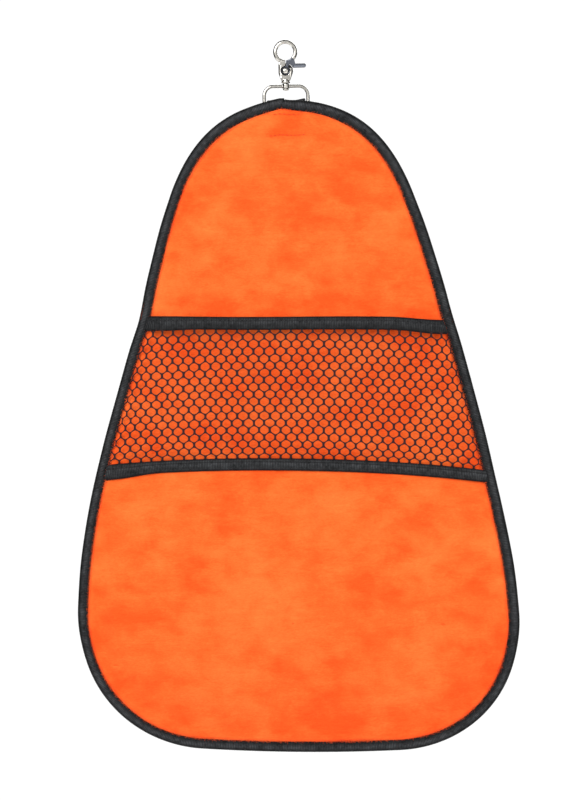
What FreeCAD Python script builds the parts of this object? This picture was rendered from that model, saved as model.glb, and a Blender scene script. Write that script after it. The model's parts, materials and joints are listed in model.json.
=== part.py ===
import FreeCAD, Part
import math
import os
import Sketcher
from FreeCAD import Vector

# Hand warmer muff: a flat pear-shaped plush panel, bound with tape, with a net pocket on its front.
# It hangs from a swivel trigger snap by a webbing tab. Millimetres, +Z up, front towards -Y.
# The origin is the centre of the snap's ring.
# Every "drop" is a depth below that centre, and every "half" is half of a symmetric size.

SIZES = {
    # snap ring, seen from the front, and its rounded section
    "ring_bore_radius": 5.3,
    "ring_outer_radius": 7.9,
    "ring_half_land": 1.0,
    "ring_half_depth": 1.5,
    "ring_shoulder": 0.6,
    # cup that holds the trigger
    "pivot_drop": 12.3,
    "cup_half_width": 4.6,
    "cup_depth": 3.5,
    "cup_recess_radius": 3.2,
    "cup_floor": 0.7,
    "cup_taper_drop": 1.7,
    "cup_top_drop": 6.4,
    "neck_half_width": 2.9,
    "neck_drop": 18.7,
    "collar_radius": 2.85,
    "collar_drop": 20.4,
    # trigger
    "nose_radius": 9.34,
    "gate_bore_radius": 5.5,
    "gate_depth": 2.8,
    "hub_radius": 2.95,
    "hub_depth": 1.9,
    "rim_clear_radius": 5.1,
    "lever_top_drop": 7.7,
    "lever_height": 2.7,
    "lever_reach": 13.4,
    # rivet, spring and pin
    "rivet_radius": 1.0,
    "rivet_head_radius": 1.9,
    "turning_gap": 0.05,
    "spring_radius": 1.97,
    "spring_wire": 0.32,
    "spring_pitch": 0.36,
    "pin_radius": 1.2,
    "pin_top_drop": 17.5,
    "pin_head_radius": 2.0,
    "pin_head_height": 1.3,
    # swivel loop
    "loop_wire_radius": 1.15,
    "loop_half_width": 14.25,
    "loop_top_drop": 22.4,
    "loop_bar_drop": 33.9,
    "loop_top_bend": 6.0,
    "loop_bottom_bend": 1.9,
    "boss_radius": 2.2,
    "boss_top_drop": 20.7,
    "boss_height": 3.35,
    # webbing tab
    "webbing_width": 25.0,
    "webbing_thick": 1.5,
    "sleeve_gap": 0.2,
    "tab_bottom_drop": 58.0,
    "tab_join_drop": 7.0,
    # panel outline: one chain of tangent arcs, the same on both sides
    "panel_shift": 2.0,
    "panel_drop": 32.4,
    "panel_height": 423.3,
    "top_radius": 83.2,
    "side_angle": 15.7,
    "side_length": 152.0,
    "side_radius": 650.0,
    "corner_radius": 84.4,
    "base_radius": 1208.0,
    # panel layers, counted from its middle plane
    "panel_setback": 7.05,
    "wadding_half": 1.0,
    "plush_half": 4.0,
    "plush_rim_half": 2.45,
    "binding_half": 3.3,
    "binding_thick": 0.8,
    "binding_leg": 6.5,
    "plush_rim_inset": 1.0,
    "plush_field_inset": 7.3,
    "plush_round": 1.2,
    "thread_inset": 4.2,
    "thread_wide": 0.5,
    "thread_proud": 0.3,
    # net pocket
    "mouth_drop": 176.8,
    "hem_height": 7.6,
    "hem_thick": 1.4,
    "hem_gap": 0.3,
    "net_thick": 1.2,
    "pocket_inset": 8.0,
    "pocket_depth": 9.0,
    "pocket_side_slope": 22.0,
    "pocket_base_slope": 18.0,
    "pocket_base_middle_drop": 264.7,
    "pocket_base_side_drop": 270.7,
    "band_height": 8.0,
}

TAB_STITCH_DROPS = (41.4, 54.9)
TAB_STITCH_HALF_WIDTH = 12.0
TRIGGER_NECK_ANGLES = (58.0, 86.0)
TRIGGER_SLOT_ANGLES = (28.0, 91.0)
GATE_CUT_ANGLES = (0.0, 91.0)
GATE_CUT_INNER_RADIUS = 5.0
GATE_INNER_ANGLES = (-68.0, -46.0)
GATE_LEFT = 0.3
GATE_NOSE_ARC = 15.0
LEVER_ROOT = 6.4
TRIGGER_BEVEL = 0.35

doc = FreeCAD.newDocument("hand_warmer_muff")


def make_sheet():
    """The spreadsheet of driving dimensions, one alias a row."""
    sheet = doc.addObject("Spreadsheet::Sheet", "Sizes")
    for row, (alias, value) in enumerate(SIZES.items(), start=1):
        sheet.set(f"A{row}", alias)
        sheet.set(f"B{row}", str(value))
        sheet.setAlias(f"B{row}", alias)
    doc.recompute()
    return sheet


sheet = make_sheet()


def size(alias):
    return float(sheet.get(alias))


def cell(text):
    """Turns 'a + b' written with aliases into an expression on the sheet."""
    words = text.split(" ")
    return " ".join(f"Sizes.{word}" if word in SIZES else word for word in words)


def evaluate(text):
    """The value of an expression written with aliases."""
    return float(sheet.evalExpression(cell(text)))


def new_body(label):
    body = doc.addObject("PartDesign::Body", label)
    body.Label = label
    body.AllowCompound = True
    return body


def panel_body(label):
    """A body that moves sideways with the panel, which is sewn a little off the tab's middle."""
    body = new_body(label)
    body.setExpression(".Placement.Base.x", cell("panel_shift"))
    return body


def sketch_on(body, name, role, offset=None):
    """A sketch on one of the body's origin planes, moved along the plane's normal by offset."""
    sketch = body.newObject("Sketcher::SketchObject", name)
    plane = next(f for f in body.Origin.OriginFeatures if f.Role == role)
    sketch.AttachmentSupport = [(plane, "")]
    sketch.MapMode = "FlatFace"
    if offset:
        sketch.setExpression(".AttachmentOffset.Base.z", cell(offset))
    return sketch


def bind(sketch, expression, kind, *where):
    """Adds a dimension to a sketch and ties it to the sheet."""
    index = sketch.addConstraint(Sketcher.Constraint(kind, *where))
    sketch.setExpression(f"Constraints[{index}]", cell(expression))


def circle(sketch, x, z, radius):
    """A circle whose radius follows an expression."""
    at = sketch.addGeometry(Part.Circle(Vector(x, z, 0), Vector(0, 0, 1), evaluate(radius)))
    bind(sketch, radius, "Radius", at, evaluate(radius))
    return at


def lines(sketch, points):
    """A closed run of straight lines through the points."""
    corners = [Vector(x, y, 0) for x, y in points]
    for start, end in zip(corners, corners[1:] + corners[:1]):
        sketch.addGeometry(Part.LineSegment(start, end))


def arc_through(sketch, *points):
    start, middle, end = (Vector(x, y, 0) for x, y in points)
    sketch.addGeometry(Part.Arc(start, middle, end))


def dome(sketch, crown, edge):
    """A round cap's section, from its crown on the axis to its edge, square to the axis at the crown."""
    reach = edge[0]
    rise = edge[1] - crown[1]
    radius = (reach**2 + rise**2) / (2 * rise)
    half = math.asin(reach / abs(radius)) / 2
    middle = (abs(radius) * math.sin(half), crown[1] + radius * (1 - math.cos(half)))
    arc_through(sketch, crown, middle, edge)


def line(sketch, start, end):
    sketch.addGeometry(Part.LineSegment(Vector(*start, 0), Vector(*end, 0)))


def pad(body, sketch, length, both_ways=False):
    feature = body.newObject("PartDesign::Pad", f"{sketch.Name}_pad")
    feature.Profile = sketch
    feature.SideType = "Symmetric" if both_ways else "One side"
    feature.setExpression("Length", cell(length))
    return feature


def pocket(body, sketch, length, both_ways=False):
    feature = body.newObject("PartDesign::Pocket", f"{sketch.Name}_pocket")
    feature.Profile = sketch
    feature.SideType = "Symmetric" if both_ways else "One side"
    feature.setExpression("Length", cell(length))
    return feature


def turn(body, sketch, kind="PartDesign::Revolution"):
    """Revolves a sketch about its own vertical axis."""
    feature = body.newObject(kind, f"{sketch.Name}_turn")
    feature.Profile = sketch
    feature.ReferenceAxis = (sketch, ["V_Axis"])
    feature.Angle = 360
    return feature


def mirror_sides(body, features):
    """Repeats features across the middle plane of the object."""
    feature = body.newObject("PartDesign::Mirrored", f"{body.Name}_mirrored")
    feature.Originals = features
    plane = next(f for f in body.Origin.OriginFeatures if f.Role == "YZ_Plane")
    feature.MirrorPlane = (plane, [""])
    body.Tip = feature
    return feature


def edges_in_plane(feature, y):
    """Names of a feature's edges that lie wholly in the plane at y."""
    doc.recompute()
    names = []
    for number, edge in enumerate(feature.Shape.Edges, start=1):
        box = edge.BoundBox
        if abs(box.YMin - y) < 0.01 and abs(box.YMax - y) < 0.01:
            names.append(f"Edge{number}")
    return names


def round_edges(body, feature, names, radius):
    fillet = body.newObject("PartDesign::Fillet", f"{body.Name}_round")
    fillet.Base = (feature, names)
    fillet.Radius = radius
    body.Tip = fillet
    return fillet


def about_pivot(radius, degrees):
    """A point at a radius and angle from the trigger's pivot."""
    turned = math.radians(degrees)
    return (radius * math.cos(turned), radius * math.sin(turned) - size("pivot_drop"))


def bevel_edges(body, feature, names, width):
    chamfer = body.newObject("PartDesign::Chamfer", f"{body.Name}_bevel")
    chamfer.Base = (feature, names)
    chamfer.Size = width
    body.Tip = chamfer
    return chamfer


# ---------------------------------------------------------------- snap


def sector(sketch, inner, outer, angles):
    """Part of a ring about the trigger's pivot."""
    low, high = angles
    middle = (low + high) / 2
    arc_through(sketch, *(about_pivot(outer, a) for a in (low, middle, high)))
    line(sketch, about_pivot(outer, high), about_pivot(inner, high))
    arc_through(sketch, *(about_pivot(inner, a) for a in (high, middle, low)))
    line(sketch, about_pivot(inner, low), about_pivot(outer, low))


def make_hook_body():
    """Ring, cup, neck and collar, cast in one piece, with the gate's opening cut out of it."""
    body = new_body("hook_body")
    land = size("ring_half_land")
    bore = size("ring_bore_radius")
    shoulder = bore + size("ring_shoulder")
    deep = size("ring_half_depth")

    ring = sketch_on(body, "ring_section", "XY_Plane")
    arc_through(ring, (shoulder, deep), (size("ring_outer_radius"), 0), (shoulder, -deep))
    line(ring, (shoulder, -deep), (bore, -land))
    line(ring, (bore, -land), (bore, land))
    line(ring, (bore, land), (shoulder, deep))
    turn(body, ring)

    side = size("cup_half_width")
    taper = size("pivot_drop") + size("cup_taper_drop")
    rim = math.hypot(side, size("cup_taper_drop"))
    low_angle = -math.degrees(math.asin(size("cup_taper_drop") / rim))
    neck = size("neck_half_width")
    top = size("cup_top_drop")
    cup = sketch_on(body, "cup_outline", "XZ_Plane")
    line(cup, (neck, -size("neck_drop")), (side, -taper))
    arc_through(cup, *(about_pivot(rim, a) for a in (low_angle, 35, 90)))
    line(cup, about_pivot(rim, 90), (0, -top))
    line(cup, (0, -top), (-side + 1, -top))
    line(cup, (-side + 1, -top), (-side, -top - 1.6))
    line(cup, (-side, -top - 1.6), (-side, -taper))
    line(cup, (-side, -taper), (-neck, -size("neck_drop")))
    line(cup, (-neck, -size("neck_drop")), (neck, -size("neck_drop")))
    cup_pad = pad(body, cup, "cup_depth", both_ways=True)
    round_edges(body, cup_pad, edges_near_cup(cup_pad), 0.45)

    collar = sketch_on(body, "collar_section", "XZ_Plane")
    outer = size("collar_radius")
    low = -size("collar_drop")
    high = -size("neck_drop")
    waist = outer - 0.45
    lines(collar, [(0, high + 0.6), (waist, high + 0.6), (waist, high - 0.3), (outer, high - 0.55),
                   (outer, low + 0.3), (outer - 0.3, low), (0, low)])
    turn(body, collar)

    gap = sketch_on(body, "gate_opening", "XZ_Plane")
    sector(gap, GATE_CUT_INNER_RADIUS, size("nose_radius"), GATE_CUT_ANGLES)
    pocket(body, gap, "cup_depth * 2", both_ways=True)

    recess = sketch_on(body, "trigger_recess", "XZ_Plane", "cup_depth / 2")
    circle(recess, 0, -size("pivot_drop"), "cup_recess_radius")
    pocket(body, recess, "cup_depth - cup_floor")

    slot = sketch_on(body, "trigger_slot", "XZ_Plane", "cup_depth / 2")
    sector(slot, size("cup_recess_radius") - 0.4, GATE_CUT_INNER_RADIUS + 0.2, TRIGGER_SLOT_ANGLES)
    pocket(body, slot, "cup_depth - cup_floor")

    rivet_hole = sketch_on(body, "rivet_hole", "XZ_Plane")
    circle(rivet_hole, 0, -size("pivot_drop"), "rivet_radius")
    pocket(body, rivet_hole, "cup_depth * 2", both_ways=True)

    spring_hole = sketch_on(body, "spring_hole", "XZ_Plane")
    circle(spring_hole, size("spring_radius"), -size("pivot_drop"), "spring_wire * 0.75")
    pocket(body, spring_hole, "cup_depth * 2", both_ways=True)

    bore_section = sketch_on(body, "pin_bore", "XZ_Plane")
    pin = size("pin_radius")
    bore_top = -size("pin_top_drop")
    lines(bore_section, [(0, bore_top), (pin, bore_top), (pin, low - 1), (0, low - 1)])
    groove = turn(body, bore_section, "PartDesign::Groove")
    body.Tip = groove
    return body


def edges_near_cup(feature):
    """The cup's outline edges on both faces, below the ring."""
    half = size("cup_depth") / 2
    names = []
    for y in (-half, half):
        names += edges_in_plane(feature, y)
    shape = feature.Shape
    return [n for n in names if shape.getElement(n).BoundBox.ZMax < -size("cup_top_drop") - 0.5]


def make_trigger():
    """The gate that closes the ring, its thumb lever and its hub, in one piece."""
    body = new_body("trigger")
    gate = size("gate_bore_radius")
    left = GATE_LEFT
    clear = size("rim_clear_radius")
    drop = size("pivot_drop")

    inner_low = (left, -math.sqrt(gate**2 - left**2))
    inner_middle, inner_high = (
        (gate * math.cos(math.radians(a)), gate * math.sin(math.radians(a)))
        for a in GATE_INNER_ANGLES)
    start = math.degrees(math.atan2(inner_high[1] + drop, inner_high[0]))
    tip = math.hypot(inner_high[0], inner_high[1] + drop)
    end = start - GATE_NOSE_ARC
    top = -size("lever_top_drop")
    bottom = top - size("lever_height")
    round_off = size("lever_height") / 2
    reach = size("lever_reach")
    low_angle = math.degrees(math.asin((bottom + drop) / clear))
    high_angle = math.degrees(math.acos(left / clear))

    head = sketch_on(body, "gate_outline", "XZ_Plane")
    arc_through(head, inner_low, inner_middle, inner_high)
    arc_through(head, inner_high, about_pivot(tip, start - GATE_NOSE_ARC / 2), about_pivot(tip, end))
    line(head, about_pivot(tip, end), (LEVER_ROOT, top))
    line(head, (LEVER_ROOT, top), (reach - round_off, top))
    arc_through(head, (reach - round_off, top), (reach, top - round_off), (reach - round_off, bottom))
    line(head, (reach - round_off, bottom), about_pivot(clear, low_angle))
    arc_through(head, *(about_pivot(clear, a) for a in (low_angle, 55.0, high_angle)))
    line(head, about_pivot(clear, high_angle), inner_low)
    pad(body, head, "gate_depth", both_ways=True)
    neck = sketch_on(body, "trigger_neck", "XZ_Plane")
    sector(neck, size("hub_radius") - 0.6, clear + 0.8, TRIGGER_NECK_ANGLES)
    pad(body, neck, "hub_depth", both_ways=True)

    hub = sketch_on(body, "trigger_hub", "XZ_Plane")
    circle(hub, 0, -drop, "hub_radius")
    pad(body, hub, "hub_depth", both_ways=True)

    bore = sketch_on(body, "trigger_bore", "XZ_Plane")
    circle(bore, 0, -drop, "rivet_radius + turning_gap")
    pocket(body, bore, "hub_depth * 2", both_ways=True)

    groove = sketch_on(body, "spring_groove", "XZ_Plane", "-1 * hub_depth / 2")
    circle(groove, 0, -drop, "spring_radius + 0.5")
    circle(groove, 0, -drop, "spring_radius - 0.5")
    cut = pocket(body, groove, "spring_pitch * 3")
    cut.Reversed = True
    body.Tip = cut
    half = size("gate_depth") / 2
    faces = edges_in_plane(cut, -half) + edges_in_plane(cut, half)
    bevel_edges(body, cut, faces, TRIGGER_BEVEL)
    return body


def make_trigger_rivet():
    """A rivet with a low domed head in front and a smaller one behind, turned about its own axis."""
    body = new_body("trigger_rivet")
    section = sketch_on(body, "rivet_section", "XY_Plane")
    head = size("rivet_head_radius")
    shank = size("rivet_radius")
    seat = -size("hub_depth") / 2 - size("turning_gap")
    back = size("cup_depth") / 2
    tail = head - 0.3
    dome(section, (0, seat - 0.95), (head, seat - 0.3))
    line(section, (head, seat - 0.3), (head, seat))
    line(section, (head, seat), (shank, seat))
    line(section, (shank, seat), (shank, back))
    line(section, (shank, back), (tail, back))
    line(section, (tail, back), (tail, back + 0.15))
    dome(section, (0, back + 0.5), (tail, back + 0.15))
    line(section, (0, back + 0.5), (0, seat - 0.95))
    turn(body, section)
    body.setExpression(".Placement.Base.z", cell("-1 * pivot_drop"))
    return body


def make_trigger_spring():
    """A torsion spring round the rivet, in the hub's groove, with one leg in the cup's floor."""
    body = new_body("trigger_spring")
    start = size("hub_depth") / 2 - 0.15 - 2 * size("spring_pitch")
    section = sketch_on(body, "spring_section", "XY_Plane")
    circle(section, size("spring_radius"), start, "spring_wire / 2")
    coil = body.newObject("PartDesign::AdditiveHelix", "spring_coil")
    coil.Profile = section
    coil.ReferenceAxis = (section, ["V_Axis"])
    coil.Mode = "pitch-turns-angle"
    coil.setExpression("Pitch", cell("spring_pitch"))
    coil.Turns = 2
    leg = sketch_on(body, "spring_leg", "XZ_Plane", "-1 * cup_depth / 2 + 0.1")
    circle(leg, size("spring_radius"), 0, "spring_wire / 2")
    pad(body, leg, "cup_floor + 0.15")
    body.setExpression(".Placement.Base.z", cell("-1 * pivot_drop"))
    return body


def make_swivel_pin():
    """The pin pressed into the collar, with a peened head that carries the loop's boss."""
    body = new_body("swivel_pin")
    section = sketch_on(body, "pin_section", "XZ_Plane")
    pin = size("pin_radius")
    head = size("pin_head_radius")
    top = -size("pin_top_drop")
    seat = -size("boss_top_drop") - size("boss_height") - 0.1
    low = seat - size("pin_head_height")
    line(section, (0, top), (pin, top))
    line(section, (pin, top), (pin, seat))
    line(section, (pin, seat), (head, seat))
    line(section, (head, seat), (head, seat - 0.6))
    dome(section, (0, low), (head, seat - 0.6))
    line(section, (0, low), (0, top))
    turn(body, section)
    return body


def make_swivel_loop():
    """A round-wire loop, wide enough for the webbing, with a bored boss in its top bar."""
    body = new_body("swivel_loop")
    wide = size("loop_half_width")
    top = -size("loop_top_drop")
    low = -size("loop_bar_drop")
    bend = size("loop_top_bend")
    sharp = size("loop_bottom_bend")
    turned = math.sqrt(0.5)

    path = sketch_on(body, "loop_path", "XZ_Plane")
    line(path, (0, top), (wide - bend, top))
    arc_through(path, (wide - bend, top), (wide - bend + bend * turned, top - bend + bend * turned),
                (wide, top - bend))
    line(path, (wide, top - bend), (wide, low + sharp))
    arc_through(path, (wide, low + sharp), (wide - sharp + sharp * turned, low + sharp - sharp * turned),
                (wide - sharp, low))
    line(path, (wide - sharp, low), (-wide + sharp, low))
    arc_through(path, (-wide + sharp, low), (-wide + sharp - sharp * turned, low + sharp - sharp * turned),
                (-wide, low + sharp))
    line(path, (-wide, low + sharp), (-wide, top - bend))
    arc_through(path, (-wide, top - bend), (-wide + bend - bend * turned, top - bend + bend * turned),
                (-wide + bend, top))
    line(path, (-wide + bend, top), (0, top))

    wire = sketch_on(body, "loop_wire", "YZ_Plane")
    circle(wire, 0, top, "loop_wire_radius")
    pipe = body.newObject("PartDesign::AdditivePipe", "loop_pipe")
    pipe.Profile = wire
    pipe.Spine = (path, [])

    boss = sketch_on(body, "boss_section", "XZ_Plane")
    outer = size("boss_radius")
    high = -size("boss_top_drop")
    base = high - size("boss_height")
    lines(boss, [(0, high), (outer - 0.3, high), (outer, high - 0.3), (outer, base + 0.3),
                 (outer - 0.3, base), (0, base)])
    turn(body, boss)

    bore = sketch_on(body, "boss_bore", "XZ_Plane")
    pin = size("pin_radius") + size("turning_gap")
    lines(bore, [(0, high + 1), (pin, high + 1), (pin, base - 1), (0, base - 1)])
    groove = turn(body, bore, "PartDesign::Groove")
    body.Tip = groove
    return body


# ---------------------------------------------------------------- panel


def make_webbing_tab():
    """Webbing folded over the loop's lower bar, its two ends brought together behind the panel."""
    body = new_body("webbing_tab")
    inner = size("loop_wire_radius") + size("sleeve_gap")
    outer = inner + size("webbing_thick")
    bar = -size("loop_bar_drop")
    join = bar - size("tab_join_drop")
    low = -size("tab_bottom_drop")
    back = outer - 2 * inner

    side = sketch_on(body, "tab_side", "YZ_Plane")
    line(side, (-outer, low), (-outer, bar))
    arc_through(side, (-outer, bar), (0, bar + outer), (outer, bar))
    line(side, (outer, bar), (back, join))
    line(side, (back, join), (back, low))
    line(side, (back, low), (-outer, low))
    arc_through(side, (-inner, bar), (0, bar + inner), (inner, bar))
    line(side, (inner, bar), (-inner, join))
    line(side, (-inner, join), (-inner, bar))
    pad(body, side, "webbing_width", both_ways=True)
    return body


def outline_chain(inset):
    """Centres, radii and angles of the right half of the outline, moved inwards by inset."""
    slope = math.radians(size("side_angle"))
    top_centre = Vector(0, -size("panel_drop") - size("top_radius"), 0)
    outwards = Vector(math.cos(slope), math.sin(slope), 0)
    downwards = Vector(math.sin(slope), -math.cos(slope), 0)
    shoulder = top_centre + outwards * size("top_radius") + downwards * size("side_length")
    side_centre = shoulder - outwards * size("side_radius")
    base_centre = Vector(0, -size("panel_drop") - size("panel_height") + size("base_radius"), 0)

    # the corner's centre is where two circles cross: one about each neighbour's centre
    from_side = size("side_radius") - size("corner_radius")
    from_base = size("base_radius") - size("corner_radius")
    across = base_centre - side_centre
    apart = across.Length
    along = (apart**2 + from_side**2 - from_base**2) / (2 * apart)
    off = math.sqrt(from_side**2 - along**2)
    unit = across * (1 / apart)
    corner_centre = side_centre + unit * along + Vector(unit.y, -unit.x, 0) * off

    to_corner = corner_centre - side_centre
    to_base = corner_centre - base_centre
    side_end = math.atan2(to_corner.y, to_corner.x)
    corner_end = math.atan2(to_base.y, to_base.x)
    quarter = math.pi / 2
    return [
        (top_centre, size("top_radius") - inset, slope, quarter),
        (side_centre, size("side_radius") - inset, side_end, slope),
        (corner_centre, size("corner_radius") - inset, corner_end, side_end),
        (base_centre, size("base_radius") - inset, -quarter, corner_end),
    ]


def outline_half_width(z, inset):
    """Half of the outline's width at a height, where its side is straight or gently bowed."""
    top, side = outline_chain(inset)[:2]
    if z > side[0].y + side[1] * math.sin(side[3]):
        slope = side[3]
        start = top[0] + Vector(math.cos(slope), math.sin(slope), 0) * top[1]
        return start.x + (start.y - z) * math.tan(slope)
    return side[0].x + math.sqrt(side[1] ** 2 - (z - side[0].y) ** 2)


def panel_sketch(body, name, inset, offset):
    """The right half of the panel's outline, held tangent all the way round and tied to the sheet."""
    sketch = sketch_on(body, name, "XZ_Plane", offset)
    pulled_in = evaluate(inset)
    arcs = []
    for centre, radius, start, end in outline_chain(pulled_in):
        whole = Part.Circle(centre, Vector(0, 0, 1), radius)
        arcs.append(sketch.addGeometry(Part.ArcOfCircle(whole, start, end)))
    top, side, corner, base = arcs
    edge = sketch.addGeometry(
        Part.LineSegment(sketch.getPoint(top, 1), sketch.getPoint(side, 2)))
    middle = sketch.addGeometry(
        Part.LineSegment(sketch.getPoint(base, 1), sketch.getPoint(top, 2)))

    def tie(kind, *where):
        sketch.addConstraint(Sketcher.Constraint(kind, *where))

    tie("Tangent", top, 1, edge, 1)
    tie("Tangent", edge, 2, side, 2)
    tie("Tangent", side, 1, corner, 2)
    tie("Tangent", corner, 1, base, 2)
    tie("Coincident", base, 1, middle, 1)
    tie("Coincident", middle, 2, top, 2)
    for arc, point in ((top, 3), (top, 2), (base, 3), (base, 1)):
        tie("PointOnObject", arc, point, -2)
    for arc, radius in ((top, "top_radius"), (side, "side_radius"), (corner, "corner_radius"),
                        (base, "base_radius")):
        bind(sketch, f"{radius} - ( {inset} )", "Radius", arc, size(radius) - pulled_in)
    bind(sketch, "panel_drop + top_radius", "DistanceY", top, 3, -1, 1,
         size("panel_drop") + size("top_radius"))
    bind(sketch, "side_length", "Distance", edge, size("side_length"))
    bind(sketch, f"panel_drop + panel_height - ( {inset} )", "DistanceY", base, 1, -1, 1,
         size("panel_drop") + size("panel_height") - pulled_in)
    bind(sketch, "( side_angle - 90 ) * 1 deg", "Angle", edge, math.radians(size("side_angle") - 90))
    return sketch


def make_front_plush():
    """The front face: a rim that goes into the binding and a thicker field inside it."""
    return plush("front_plush", "panel_setback + wadding_half", reverse=False)


def make_back_plush():
    return plush("back_plush", "panel_setback - wadding_half", reverse=True)


def plush(label, offset, reverse):
    body = panel_body(label)
    rim = panel_sketch(body, f"{label}_rim", "plush_rim_inset", offset)
    rim_pad = pad(body, rim, "plush_rim_half - wadding_half")
    field = panel_sketch(body, f"{label}_field", "plush_field_inset", offset)
    field_pad = pad(body, field, "plush_half - wadding_half")
    rim_pad.Reversed = reverse
    field_pad.Reversed = reverse
    whole = mirror_sides(body, [rim_pad, field_pad])
    side = 1 if reverse else -1
    face = -size("panel_setback") + side * size("plush_half")
    round_edges(body, whole, edges_in_plane(whole, face), size("plush_round"))
    return body


def make_wadding():
    """The filling between the two plush faces."""
    body = panel_body("insulating_wadding")
    outline = panel_sketch(body, "wadding_outline", "plush_rim_inset", "panel_setback")
    half = pad(body, outline, "wadding_half * 2", both_ways=True)
    mirror_sides(body, [half])
    return body


def make_edge_binding():
    """Tape folded round the edge: a channel with one leg on each face."""
    body = panel_body("edge_binding")
    outer = panel_sketch(body, "binding_outer", "0", "panel_setback")
    block = pad(body, outer, "binding_half * 2", both_ways=True)
    window = panel_sketch(body, "binding_window", "binding_leg", "panel_setback")
    opened = pocket(body, window, "binding_half * 4", both_ways=True)
    inside = panel_sketch(body, "binding_inside", "binding_thick", "panel_setback")
    hollow = pocket(body, inside, "binding_half * 2 - binding_thick * 2", both_ways=True)
    whole = mirror_sides(body, [block, opened, hollow])
    doc.recompute()
    edges = []
    for side in (-1, 1):
        face = -size("panel_setback") + side * size("binding_half")
        for name in edges_in_plane(whole, face):
            if on_outline(whole.Shape.getElement(name)):
                edges.append(name)
    round_edges(body, whole, edges, 1.5)
    return body


def on_outline(edge):
    """Whether an edge is on the panel's outermost outline, not on the window's."""
    point = edge.valueAt((edge.FirstParameter + edge.LastParameter) / 2)
    for inset in (0.0, size("binding_leg")):
        for centre, radius, _, _ in outline_chain(inset):
            reach = math.hypot(abs(point.x) - centre.x, point.z - centre.y)
            if abs(reach - radius) < 0.02 and hasattr(edge.Curve, "Radius"):
                if abs(edge.Curve.Radius - radius) < 0.02:
                    return inset == 0.0
    return abs(point.x) > outline_half_width(point.z, 0.0) - 1


def make_edge_stitching():
    """The thread that holds the binding, drawn as one line along each face."""
    body = panel_body("edge_stitching")
    outer = panel_sketch(body, "thread_outer", "thread_inset", "panel_setback")
    block = pad(body, outer, "binding_half * 2 + thread_proud * 2", both_ways=True)
    inner = panel_sketch(body, "thread_inner", "thread_inset + thread_wide", "panel_setback")
    opened = pocket(body, inner, "binding_half * 4", both_ways=True)
    middle = panel_sketch(body, "thread_middle", "thread_inset - thread_wide", "panel_setback")
    split = pocket(body, middle, "binding_half * 2", both_ways=True)
    mirror_sides(body, [block, opened, split])
    return body


# ---------------------------------------------------------------- stitched lines as bars


def bar(name, corner, lengths):
    """A straight box of thread; the corner and lengths are expressions along X, Y and Z."""
    box = doc.addObject("Part::Box", name)
    for prop, text in zip(("Length", "Width", "Height"), lengths):
        box.setExpression(prop, cell(text))
    for axis, text in zip("xyz", corner):
        box.setExpression(f".Placement.Base.{axis}", cell(text))
    return box


def make_tab_stitching():
    """Four lines of thread in a square, on the front plush and again on the back of the tab."""
    wide = TAB_STITCH_HALF_WIDTH
    high, low = TAB_STITCH_DROPS
    front = "-1 * panel_setback - plush_half - thread_proud"
    back = "webbing_thick - loop_wire_radius - sleeve_gap"
    parts = []
    for face, depth in (("front", front), ("back", back)):
        for drop in (high, low):
            parts.append(bar(f"tab_thread_{face}_{int(drop)}", (f"{-wide}", depth, f"{-drop}"),
                             (f"{2 * wide}", "thread_proud", "thread_wide")))
        for x in (-wide, wide):
            spot = "left" if x < 0 else "right"
            parts.append(bar(f"tab_thread_{face}_{spot}", (f"{x} - thread_wide / 2", depth, f"{-low}"),
                             ("thread_wide", "thread_proud", f"{low - high} + thread_wide")))
    stitched = doc.addObject("Part::MultiFuse", "tab_stitching")
    stitched.Shapes = parts
    stitched.Label = "tab_stitching"
    return stitched


# ---------------------------------------------------------------- net pocket


def pocket_wire(sketch, top, side_top, side_low, low_side, low_middle):
    """A closed outline: level mouth, straight sides and an arched lower edge."""
    line(sketch, (-side_top, top), (side_top, top))
    line(sketch, (side_top, top), (side_low, low_side))
    arc_through(sketch, (side_low, low_side), (0, low_middle), (-side_low, low_side))
    line(sketch, (-side_low, low_side), (-side_top, top))


def make_pocket_mesh():
    """The net, as a shallow tray that stands off the plush and is open at its top and back."""
    body = panel_body("pocket_mesh")
    top = -size("mouth_drop") - size("hem_height") / 2 - size("hem_gap")
    side = -size("pocket_base_side_drop")
    middle = -size("pocket_base_middle_drop")
    wide_top = outline_half_width(top, size("pocket_inset"))
    wide_low = outline_half_width(side, size("pocket_inset"))
    slope = size("pocket_side_slope")
    rise = size("pocket_base_slope")
    thick = size("net_thick")
    face = "panel_setback + plush_half"

    outer_base = sketch_on(body, "net_outer_base", "XZ_Plane", face)
    pocket_wire(outer_base, top, wide_top, wide_low, side, middle)
    outer_front = sketch_on(body, "net_outer_front", "XZ_Plane", f"{face} + pocket_depth + net_thick")
    pocket_wire(outer_front, top, wide_top - slope, wide_low - slope, side + rise, middle + rise)
    loft = body.newObject("PartDesign::AdditiveLoft", "net_outer")
    loft.Profile = outer_base
    loft.Sections = [outer_front]
    loft.Ruled = True

    lip = 2 * thick
    inner_base = sketch_on(body, "net_inner_base", "XZ_Plane", f"{face} - 0.01")
    pocket_wire(inner_base, top + 1, wide_top - lip, wide_low - lip, side + lip, middle + lip)
    inner_front = sketch_on(body, "net_inner_front", "XZ_Plane", f"{face} + pocket_depth")
    pocket_wire(inner_front, top + 1, wide_top - slope, wide_low - slope, side + rise, middle + rise)
    hollow = body.newObject("PartDesign::SubtractiveLoft", "net_hollow")
    hollow.Profile = inner_base
    hollow.Sections = [inner_front]
    hollow.Ruled = True
    body.Tip = hollow
    return body


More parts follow.
